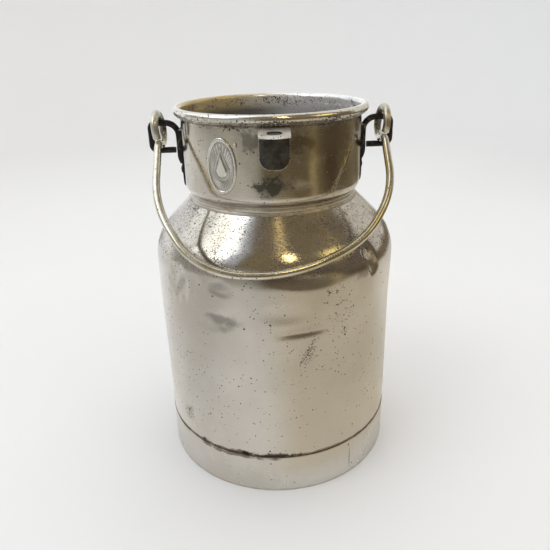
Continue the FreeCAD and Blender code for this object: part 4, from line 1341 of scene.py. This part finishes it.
# ears
earShape = {"halfWidth": 12.0 * mm, "corner": 9.0 * mm, "thick": 2.4 * mm, "thin": 1.2 * mm, "rod": 2.5 * mm,
            "gap": 0.2 * mm, "bend": 10.5 * mm, "reach": 25.6 * mm, "turn": 4.8 * mm, "drop": 22.4 * mm,
            "endGap": 0.8 * mm, "rivetRadius": 4.2 * mm, "rivetRise": 1.9 * mm, "rivetSpread": 7.2 * mm,
            "rivetUpper": 17.35 * mm, "rivetLower": 8.2 * mm, "soft": 0.4 * mm, "strapTop": 298.7 * mm,
            "waver": 0.45 * mm, "rivetWaver": 0.3 * mm}


def strapInner(z):
    s = collarShape
    curveTop = s["sleeveTop"] + s["curve"]
    inset = s["radius"] - s["sleeve"]
    curve = (s["curve"] ** 2 + inset ** 2) / (2 * inset)
    if z >= curveTop:
        return s["radius"] - 0.05 * mm
    return s["radius"] - curve + math.sqrt(max(0.0, curve ** 2 - (curveTop - z) ** 2)) - 0.05 * mm


def strapThickness(z):
    curveTop = collarShape["sleeveTop"] + collarShape["curve"]
    share = max(0.0, (z - curveTop) / (earBox[1].z - curveTop - 6 * mm))
    return earShape["thin"] + (earShape["thick"] - earShape["thin"]) * min(1.0, share)


def hookPath(side):
    s = earShape
    leg = collarShape["radius"] + s["gap"] + s["rod"]
    outer = collarShape["radius"] + s["reach"]
    bar = pivot.z - s["drop"]
    curveTop = collarShape["sleeveTop"] + collarShape["curve"]
    root = curveTop + s["rivetLower"] + s["rivetRadius"] + s["rod"] * 1.2
    path = joinRuns([(leg - 1.6 * mm, root - 1.5 * mm), (leg - 0.5 * mm, root + 1.5 * mm)],
                    linePoints((leg, root + 4 * mm), (leg, pivot.z - s["bend"]), 3 * mm),
                    arcPoints((leg + s["bend"], pivot.z - s["bend"]), s["bend"], 180, 90, 14),
                    arcPoints((outer - s["turn"], pivot.z - s["turn"]), s["turn"], 90, 0, 10),
                    arcPoints((outer - s["turn"], bar + s["turn"]), s["turn"], 0, -90, 10),
                    [(leg + s["rod"] + s["endGap"], bar)])
    return [(side * x, 0.0, z) for x, z in path]


def makeEar(name, side):
    s = earShape
    low = roundedLow(s["halfWidth"], s["corner"], earBox[0].z)
    strap = curvedPlate(name + "Strap", s["halfWidth"], low, s["strapTop"], strapInner, strapThickness,
                        (36, 30), earIron, 90.0 * side, s["soft"])
    rod = rodPiece(name + "Rod", hookPath(side), s["rod"], earIron, 22, 0.8 * mm, s["waver"], 170.0,
                   4.0 + side)
    return joinPieces(name, [strap, rod])


def rivetPlaces(side):
    s = earShape
    curveTop = collarShape["sleeveTop"] + collarShape["curve"]
    swing = math.degrees(math.asin(s["rivetSpread"] / collarShape["radius"]))
    spots = [(-swing, pivot.z - s["rivetUpper"]), (swing, pivot.z - s["rivetUpper"]),
             (0.0, curveTop + s["rivetLower"])]
    places = []
    for turn, z in spots:
        degrees = 90.0 * side + turn
        radius = collarShape["radius"] + strapThickness(z) - 0.15 * mm
        places.append((onCan(degrees, radius, z), onCan(degrees, 1.0, 0.0)))
    return places


ears = {}
for label, side in (("earRight", 1), ("earLeft", -1)):
    ears[label] = makeEar(label, side)
    ears[label + "Rivets"] = headsPiece(label + "Rivets", rivetPlaces(side),
                                        earShape["rivetRadius"] - 0.2 * mm, earShape["rivetRise"], earIron,
                                        earShape["rivetWaver"])
print("ears ready")


# bail
bailShape = {"rod": 3.15 * mm, "reach": 142.8 * mm, "hole": 9.2 * mm, "play": 0.3 * mm, "eyeX": 92.8 * mm,
             "yaw": 7.0, "tip": 15.0, "neck": 9.0 * mm, "share": 0.48, "hookRod": 2.5 * mm,
             "leftShoulder": 61.3 * mm, "leftInset": 34.1 * mm, "leftRise": 2.4 * mm, "middle": 10.1 * mm,
             "middleDrop": 1.6 * mm, "rightInset": 26.0 * mm, "rightRise": 25.6 * mm,
             "rightShoulder": 70.4 * mm, "waver": 0.18 * mm}


def roundedRoute(corners, share):
    points = [corners[0]]
    for i in range(1, len(corners) - 1):
        before = corners[i - 1] - corners[i]
        after = corners[i + 1] - corners[i]
        cut = share * min(before.length, after.length)
        half = (math.pi - before.angle(after)) / 2
        radius = cut / math.tan(half)
        inward = (before.normalized() + after.normalized()).normalized()
        centre = corners[i] + inward * (radius / math.cos(half))
        first = corners[i] + before.normalized() * cut - centre
        second = corners[i] + after.normalized() * cut - centre
        for k in range(25):
            points.append(centre + first.normalized().slerp(second.normalized(), k / 24) * radius)
    points.append(corners[-1])
    return points


def eyePath(side):
    # tip, round the ring, and through the neck to the top of the shank, hanging straight down
    s = bailShape
    mean = s["hole"] + s["rod"]
    drop = s["hole"] - s["hookRod"] - s["play"]
    start = drop + math.sqrt(mean ** 2 + 2 * s["neck"] * mean)
    join = math.degrees(math.atan2(s["neck"], start - drop))
    ring = arcPoints((0.0, -drop), mean, 270 - s["tip"], join - 90, 72)
    throat = arcPoints((s["neck"], -start), s["neck"], 90 + join, 180, 10)
    yaw = Matrix.Rotation(math.radians(side * s["yaw"]), 3, "Z")
    place = Vector((side * s["eyeX"], 0, 0))
    return [yaw @ Vector((0.0, y, z)) + place for y, z in joinRuns(ring, throat)], start


def bailPath(tilt):
    s = bailShape
    left, start = eyePath(-1)
    right, start = eyePath(1)
    corners = [(-s["eyeX"], start), (-s["eyeX"], s["reach"] - s["leftShoulder"]),
               (-s["eyeX"] + s["leftInset"], s["reach"] - s["leftRise"]),
               (s["middle"], s["reach"] + s["middleDrop"]),
               (s["eyeX"] - s["rightInset"], s["reach"] - s["rightRise"]),
               (s["eyeX"], s["reach"] - s["rightShoulder"]), (s["eyeX"], start)]
    bow = roundedRoute([Vector((x, 0.0, -down)) for x, down in corners], s["share"])
    path = []
    for p in left + bow + list(reversed(right)):
        if not path or (p - path[-1]).length > 1e-6:
            path.append(p)
    place = Matrix.Translation(pivot) @ Matrix.Rotation(-tilt, 4, "X")
    return [tuple(place @ p) for p in path]


bail = rodPiece("bail", bailPath(bailTilt), bailShape["rod"] - 0.05 * mm, bailPlate, 28, 1.0 * mm,
                bailShape["waver"], 60.0, 2.0)


def markShadedUnderside(piece):
    # 1 on the sides of the rod that face the can and the floor, for painted shade there; 0 on the sides
    # facing out and up
    outward = Vector((0.0, -math.cos(bailTilt), math.sin(bailTilt)))
    marks = piece.data.attributes.new("shadedUnderside", "FLOAT", "POINT")
    for v, mark in zip(piece.data.vertices, marks.data):
        side = max(smoothStep(0.0, 0.6, -v.normal.dot(outward)), smoothStep(0.25, 0.85, -v.normal.z))
        mark.value = side * smoothStep(pivot.z - 0.03, pivot.z - 0.05, v.co.z)


markShadedUnderside(bail)
print("bail ready", round(math.degrees(bailTilt), 2))


# bodies, slots and what each piece stands for
standIns = [
    (bodyShell, "can", "tinned_steel", "body_shell"), (baseHoop, "can", "hoop_steel", "base_hoop"),
    (hoopSeam, "can", "solder", "hoop_seam"), (bottomPlate, "can", "inner_steel", "bottom_plate"),
    (bottomSeam, "can", "solder", "bottom_seam"), (neckCollar, "can", "collar_steel", "neck_collar"),
    (rimSeam, "can", "collar_steel", "rim_seam"), (neckSeam, "can", "solder", "neck_seam"),
    (lockLug, "can", "lug_steel", "lock_lug"), (badgePlate, "can", "badge_metal", "badge"),
    (badgeStud, "can", "badge_metal", "badge_stud"), (ears["earRight"], "can", "ear_iron", "ear_right"),
    (ears["earLeft"], "can", "ear_iron", "ear_left"),
    (ears["earRightRivets"], "can", "rivet_steel", "ear_right_rivets"),
    (ears["earLeftRivets"], "can", "rivet_steel", "ear_left_rivets"), (bail, "bail", "bail_rod", "bail"),
]
for piece, body, slotName, node in standIns:
    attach(piece, body)
    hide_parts(node)

wirePiece = nodes["rim_wire"]
wirePiece.data.materials.clear()
wirePiece.data.materials.append(bottomSteel)


# studio
studio = {"floorRadius": 2.6, "wallHeight": 2.6, "sweep": 0.9, "floorColour": (0.80, 0.80, 0.80)}


def turnedSheet(name, outline, sides, closed=False):
    # sheet of quads turned round the can's axis; closed adds a point on the axis
    verts = []
    for r, z in outline:
        verts += [(r * math.cos(full * j / sides), r * math.sin(full * j / sides), z) for j in range(sides)]
    faces = []
    for i in range(len(outline) - 1):
        for j in range(sides):
            k = (j + 1) % sides
            faces.append((i * sides + j, i * sides + k, (i + 1) * sides + k, (i + 1) * sides + j))
    if closed:
        faces += [(j, (j + 1) % sides, len(verts)) for j in range(sides)]
        verts.append((0, 0, 0))
    mesh = bpy.data.meshes.new(name)
    mesh.from_pydata(verts, [], faces)
    return mesh


def makeFloor():
    s = studio
    outline = joinRuns(linePoints((0.001, 0.0), (s["floorRadius"] - s["sweep"], 0.0), 0.2),
                       arcPoints((s["floorRadius"] - s["sweep"], s["sweep"]), s["sweep"], -90, 0, 16),
                       linePoints((s["floorRadius"], s["sweep"]), (s["floorRadius"], s["wallHeight"]), 0.4))
    mesh = turnedSheet("floor", outline, 96, True)
    material, tree, shader, coords = startMaterial("floorPaper")
    shader.inputs["Roughness"].default_value = 0.85
    shade = noiseNode(tree, coords, 3.0, 3.0, 0.5, 1.0)
    tree.links.new(mixColour(tree, shade, s["floorColour"], (0.78, 0.785, 0.79)), shader.inputs["Base Color"])
    mesh.materials.append(material)
    mesh.shade_smooth()
    floor = linkObject("floor", mesh)


def bandMask(tree, value, low, high, soft):
    rising = rampNode(tree, value, low - soft, low + soft)
    return times(tree, rising, rampNode(tree, value, high - soft, high + soft, 1.0, 0.0))


room = {
    "radius": 1.6, "clear": 0.125, "wall": (0.90, 0.91, 0.92),
    # zone: (degrees from, to, soft), (elevation from, to, soft), (distance from, to, soft), colour
    "zones": [
        ((98.0, 164.0, 14.0), (-91.0, 91.0, 2.0), (0.0, 3.0, 0.1), (0.72, 0.68, 0.60)),
        ((-120.0, 4.0, 16.0), (-91.0, -1.0, 2.0), (0.0, 3.0, 0.1), (0.78, 0.765, 0.74)),
        ((-2.0, 104.0, 16.0), (-91.0, -1.0, 2.0), (0.0, 3.0, 0.1), (0.70, 0.635, 0.51)),
        ((-84.0, 4.0, 14.0), (-91.0, -1.0, 2.0), (0.46, 3.0, 0.06), (0.64, 0.63, 0.60)),
        ((-2.0, 100.0, 14.0), (-91.0, -1.0, 2.0), (0.46, 3.0, 0.06), (0.60, 0.53, 0.41)),
        ((-62.0, -14.0, 8.0), (-91.0, -1.0, 2.0), (0.84, 3.0, 0.06), (0.56, 0.55, 0.49)),
        ((-16.0, 126.0, 6.0), (-91.0, -1.0, 2.0), (0.84, 3.0, 0.05), (0.16, 0.125, 0.07)),
        ((110.0, 150.0, 8.0), (-91.0, -1.0, 2.0), (1.0, 3.0, 0.1), (0.20, 0.16, 0.10)),
        ((45.0, 54.0, 2.0), (-91.0, -1.0, 2.0), (0.84, 3.0, 0.05), (0.44, 0.35, 0.18)),
        ((66.0, 86.0, 4.0), (-91.0, -1.0, 2.0), (0.84, 3.0, 0.05), (0.09, 0.06, 0.035)),
        ((-112.0, -10.0, 10.0), (-7.0, 34.0, 5.0), (0.0, 3.0, 0.1), (0.38, 0.365, 0.33)),
        ((-18.0, 104.0, 8.0), (-7.0, 34.0, 5.0), (0.0, 3.0, 0.1), (0.15, 0.118, 0.08)),
        ((-58.0, 104.0, 6.0), (22.0, 80.0, 5.0), (0.0, 3.0, 0.1), (0.225, 0.178, 0.105)),
        ((-134.0, -90.0, 6.0), (24.0, 80.0, 5.0), (0.0, 3.0, 0.1), (1.2, 1.22, 1.2)),
        ((-94.0, -68.0, 4.0), (27.0, 82.0, 5.0), (0.0, 3.0, 0.1), (1.75, 1.74, 1.65)),
        ((-60.0, -40.0, 5.0), (27.0, 82.0, 5.0), (0.0, 3.0, 0.1), (0.58, 0.63, 0.70)),
        ((-75.0, -55.0, 3.0), (30.0, 82.0, 5.0), (0.0, 3.0, 0.1), (2.4, 2.5, 2.55)),
        ((-103.0, -100.5, 1.2), (10.0, 80.0, 4.0), (0.0, 3.0, 0.1), (0.55, 0.53, 0.48)),
        ((7.0, 12.0, 1.0), (56.0, 82.0, 3.0), (0.0, 3.0, 0.1), (1.9, 1.45, 0.62)),
        ((13.5, 18.5, 1.0), (42.0, 57.0, 2.0), (0.0, 3.0, 0.1), (11.0, 8.6, 4.2)),
        ((54.0, 80.0, 3.0), (24.0, 46.0, 3.0), (0.0, 3.0, 0.1), (1.3, 1.02, 0.42)),
    ],
}


def makeRoom():
    # only glossy rays see it: a tall window, a lamp and a warm dim room round a pale table
    middle = room["radius"] - room["clear"]
    outline = [(room["clear"] + middle * i / 12, 0.0008) for i in range(13)]
    outline += arcPoints((0.0, 0.0), room["radius"], 5, 90, 17)
    mesh = turnedSheet("room", outline, 72)
    material = bpy.data.materials.new("room")
    material.use_nodes = True
    tree = material.node_tree
    tree.nodes.clear()
    coords = tree.nodes.new("ShaderNodeTexCoord").outputs["Object"]
    place = useGroup(tree, placeGroup, Vector=coords)
    rise = minus(tree, place.outputs["Height"], 0.25)
    elevation = times(tree, mathNode(tree, "ARCTAN2", rise, place.outputs["Radius"]), 180 / math.pi)
    colour = mixColour(tree, 0.0, room["wall"], room["wall"])
    for turn, lift, reach, shade in room["zones"]:
        mask = times(tree, bandMask(tree, place.outputs["Degrees"], *turn),
                     bandMask(tree, elevation, *lift))
        mask = times(tree, mask, bandMask(tree, place.outputs["Radius"], *reach))
        colour = mixColour(tree, mask, colour, shade)
    uneven = rampNode(tree, noiseNode(tree, coords, 2.2, 3.0, 0.6, 2.0), 0.3, 0.7, 0.82, 1.12)
    glow = addNode(tree, "ShaderNodeEmission", None, Color=colour, Strength=uneven)
    tree.links.new(glow.outputs[0], tree.nodes.new("ShaderNodeOutputMaterial").inputs[0])
    mesh.materials.append(material)
    shell = linkObject("room", mesh)
    shell.visible_camera = False
    shell.visible_diffuse = False
    shell.visible_shadow = False
    shell.visible_transmission = False


def makeLight(name, centre, towards, size, colour, power):
    light = bpy.data.lights.new(name, "AREA")
    light.shape = "RECTANGLE"
    light.size, light.size_y = size
    light.color = colour
    light.energy = power
    lamp = bpy.data.objects.new(name, light)
    bpy.context.scene.collection.objects.link(lamp)
    way = (Vector(centre) - Vector(towards)).normalized()
    lamp.matrix_world = Matrix.Translation(centre) @ way.to_track_quat("Z", "Y").to_matrix().to_4x4()
    lamp.visible_glossy = False


makeFloor()
makeRoom()
target = (0.0, 0.0, 0.15)
makeLight("windowLeft", (-1.1, -0.6, 1.9), target, (1.1, 1.1), (0.92, 0.96, 1.0), 8.5)
makeLight("ceiling", (0.3, 0.5, 2.4), target, (1.8, 1.8), (1.0, 0.99, 0.97), 9.5)
makeLight("lampRight", (1.4, -0.9, 1.5), target, (0.7, 0.7), (1.0, 0.90, 0.76), 2.5)

world = bpy.data.worlds.new("studioAir")
bpy.context.scene.world = world
world.use_nodes = True
worldTree = world.node_tree
air = worldTree.nodes["Background"]
sky = addNode(worldTree, "ShaderNodeTexCoord")
split = addNode(worldTree, "ShaderNodeSeparateXYZ", None, i0=sky.outputs["Generated"])
warm = rampNode(worldTree, split.outputs[0], -0.6, 0.6)
worldTree.links.new(mixColour(worldTree, warm, (0.92, 0.95, 1.0), (1.0, 0.95, 0.88)), air.inputs["Color"])
air.inputs["Strength"].default_value = 1.05


# camera
view = {"distance": 467.71 * mm, "height": 368.49 * mm, "pitch": 23.868, "roll": -1.5155, "swing": 1.5,
        "lens": 35.564727, "sensor": 36.0}


def makeCamera():
    data = bpy.data.cameras.new("camera")
    data.sensor_width = view["sensor"]
    data.lens = view["lens"]
    data.dof.use_dof = False
    camera = bpy.data.objects.new("camera", data)
    bpy.context.scene.collection.objects.link(camera)
    pitch = math.radians(90.0 - view["pitch"])
    swing = Matrix.Rotation(-math.radians(view["swing"]), 4, "Z")
    place = Matrix.Translation((0, -view["distance"], view["height"]))
    camera.matrix_world = (swing @ place @ Matrix.Rotation(pitch, 4, "X")
                           @ Matrix.Rotation(math.radians(view["roll"]), 4, "Z"))
    bpy.context.scene.camera = camera


makeCamera()
bpy.context.scene.view_settings.view_transform = "Standard"
print("studio ready")
